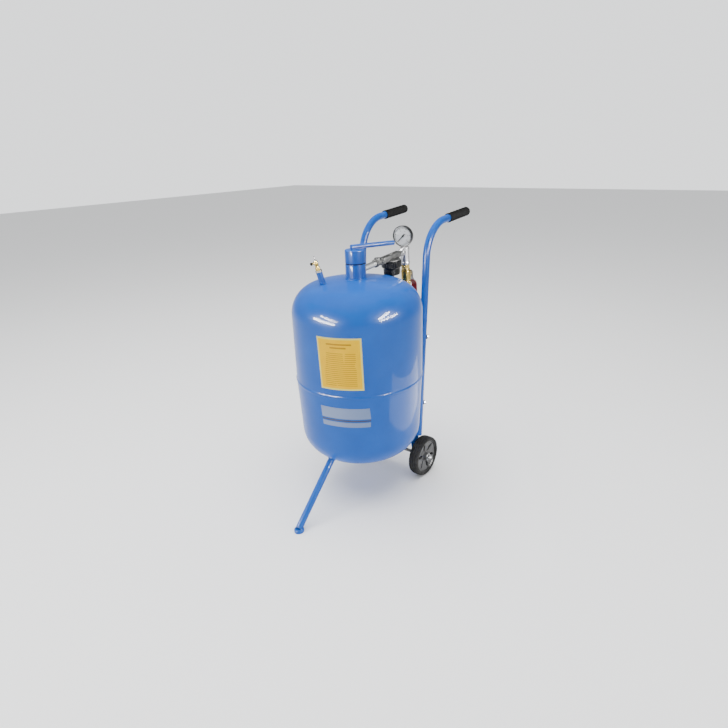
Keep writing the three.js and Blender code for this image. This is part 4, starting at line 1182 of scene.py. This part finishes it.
def build_lever():
    """The pressed steel lever, cranked away from the valve, and its dipped vinyl sleeve."""
    reach, crank = 28, 16
    bend_top, bend_bottom, end = VALVE_Z - 13, VALVE_Z - 41, VALVE_Z - 92

    def centre(z):
        if z > bend_top:
            return reach
        if z < bend_bottom:
            return reach + crank
        t = (bend_top - z) / (bend_top - bend_bottom)
        return reach + crank * (t * t * (3 - 2 * t) * 0.35 + t * 0.65)

    def eased(value, power):
        return abs(value) ** power * (1 if value >= 0 else -1)

    def strip(z_from, z_to, thick, wide, round_end):
        """A strip through the crank, its section a rounded rectangle, its ends drawn in."""
        rings = []
        for i in range(45):
            z = z_from + (z_to - z_from) * i / 44
            near = min(abs(z - z_from), abs(z - z_to))
            squeeze = sqrt(max(0.02, 1 - max(0, 1 - near / round_end) ** 2))
            half_w, half_t = wide / 2 * squeeze, thick / 2 * (0.55 + 0.45 * squeeze)
            rings.append([(half_w * eased(cos(a), 0.35), centre(z) + half_t * eased(sin(a), 0.5), z)
                          for a in around(24)])
        return make(*skin(rings), COLUMN, 40)

    fine("valve_lever", STEEL, strip(VALVE_Z + 8, end, 2.8, 14, 6), body="ball_valve_lever")
    fine("lever_sleeve", RED, strip(VALVE_Z - 24, end - 3, 7.0, 18, 7), body="ball_valve_lever")


def build_nipple():
    top = -102.3
    shank = turned(thread_profile(8.6, top - 9, top, 1.6), COLUMN, 56)
    flats = nut(19, top - 12, top - 3, COLUMN, sides=120)
    plug = turned(raised([
        (3.6, -40), (5.2, -40, 0.5), (6, -38, 0.6), (6, -33.4, 0.6), (4.6, -31.6, 0.6), (4.6, -29.6, 0.6),
        (6, -27.8, 0.6), (6, -17, 0.6), (8.4, -15, 0.8), (8.4, -11), (3.6, -11)], top), COLUMN, 56)
    fine("inlet_nipple", STEEL, shank, flats, plug)


# ---- stage, light and camera
def build_stage():
    floor = new_look("studio_floor")
    floor.put("Base Color", (0.96, 0.96, 0.96))
    floor.put("Roughness", floor.span(floor.noise(3, 2), 0.85, 0.95))
    corners = [(-12, -12, 0), (12, -12, 0), (12, 12, 0), (-12, 12, 0)]
    mesh = bpy.data.meshes.new("floor")
    mesh.from_pydata(corners, [], [(0, 1, 2, 3)])
    mesh.materials.append(floor.owner)
    obj = linked(mesh)
    obj.name = "floor"

    world = bpy.data.worlds.new("studio")
    bpy.context.scene.world = world
    sky = Nodes(world, "Background")
    facing = sky.add("VectorMath", operation="DOT_PRODUCT")
    sky.put(facing.inputs[0], sky.places["Generated"])
    facing.inputs[1].default_value = (0.60, -0.76, 0.0)
    # The gloss sees a dimmer room, and the backdrop itself is even and pale.
    rays = sky.add("LightPath").outputs
    light = sky.span(facing.outputs["Value"], 1.3, 0.4, -0.35, 0.55)
    room = sky.maths("MULTIPLY", light, sky.span(rays["Is Glossy Ray"], 1.0, 0.35))
    sky.put("Strength", sky.span(rays["Is Camera Ray"], room, 1.7))
    sky.put("Color", (0.97, 0.985, 1.0))


def strip_light(name, start, end, width, power, gloss=True):
    """A soft light from one point to another, facing the pot: a highlight if gloss, else only fill."""
    start, end = Vector(start), Vector(end)
    light = bpy.data.lights.new(name, "AREA")
    light.shape = "RECTANGLE"
    light.size, light.size_y = (end - start).length, width
    light.energy = power
    centre = (start + end) / 2
    along = (end - start).normalized()
    back = centre - Vector((0, -0.05, 0.5))
    back = (back - along * back.dot(along)).normalized()
    obj = linked(light)
    obj.name = name
    obj.matrix_world = Matrix.Translation(centre) @ axes_of(along, back.cross(along), back)
    obj.visible_camera = False
    obj.visible_diffuse = not gloss
    obj.visible_glossy = gloss


def build_camera():
    """The viewpoint: behind the near corner of the pot, above it and to its right, a little rolled."""
    azimuth, pitch, roll = radians(38.11), radians(21.66), radians(-2.0)
    ahead = Vector((-sin(azimuth) * cos(pitch), cos(azimuth) * cos(pitch), -sin(pitch)))
    right = Vector((cos(azimuth), sin(azimuth), 0))
    over = right.cross(ahead)
    x = right * cos(roll) + over * sin(roll)
    y = over * cos(roll) - right * sin(roll)
    camera = bpy.data.cameras.new("camera")
    camera.sensor_width = 36
    camera.lens = 26.55
    obj = linked(camera)
    obj.matrix_world = Matrix.Translation((0.8951, -1.1191 + TANK_Y, 0.9647)) @ axes_of(x, y, -ahead)
    bpy.context.scene.camera = obj


# ---- the whole pot
build_stage()
build_camera()
strip_light("overhead", (-1.6, -0.6, 3.0), (1.6, -0.6, 3.0), 2.6, 150, gloss=False)
strip_light("left_low", (-1.6, -2.03, 0.98), (0.05, -2.583, 0.56), 0.30, 380)
strip_light("left_high", (-1.1, -2.1, 1.42), (0.25, -2.45, 0.95), 0.20, 170)
strip_light("right_floor", (0.66, -0.10, 0.04), (0.26, 0.62, 0.04), 0.36, 4.5)
strip_light("right_low", (2.406, -0.75, 0.86), (2.25, 0.75, 1.25), 0.22, 200)
strip_light("right_high", (2.35, -0.75, 1.16), (2.13, 0.25, 1.75), 0.26, 230)
build_tank()
build_films()
build_cap()
build_relief()
for side, name in ((1, "right"), (-1, "left")):
    build_handle(side, name)
    build_axle_bracket(side, name)
    build_wheel(side, name)
build_axle()
build_leg()
build_pipe()
build_trap()
build_tee()
build_gauge()
build_valve()
build_nipple()
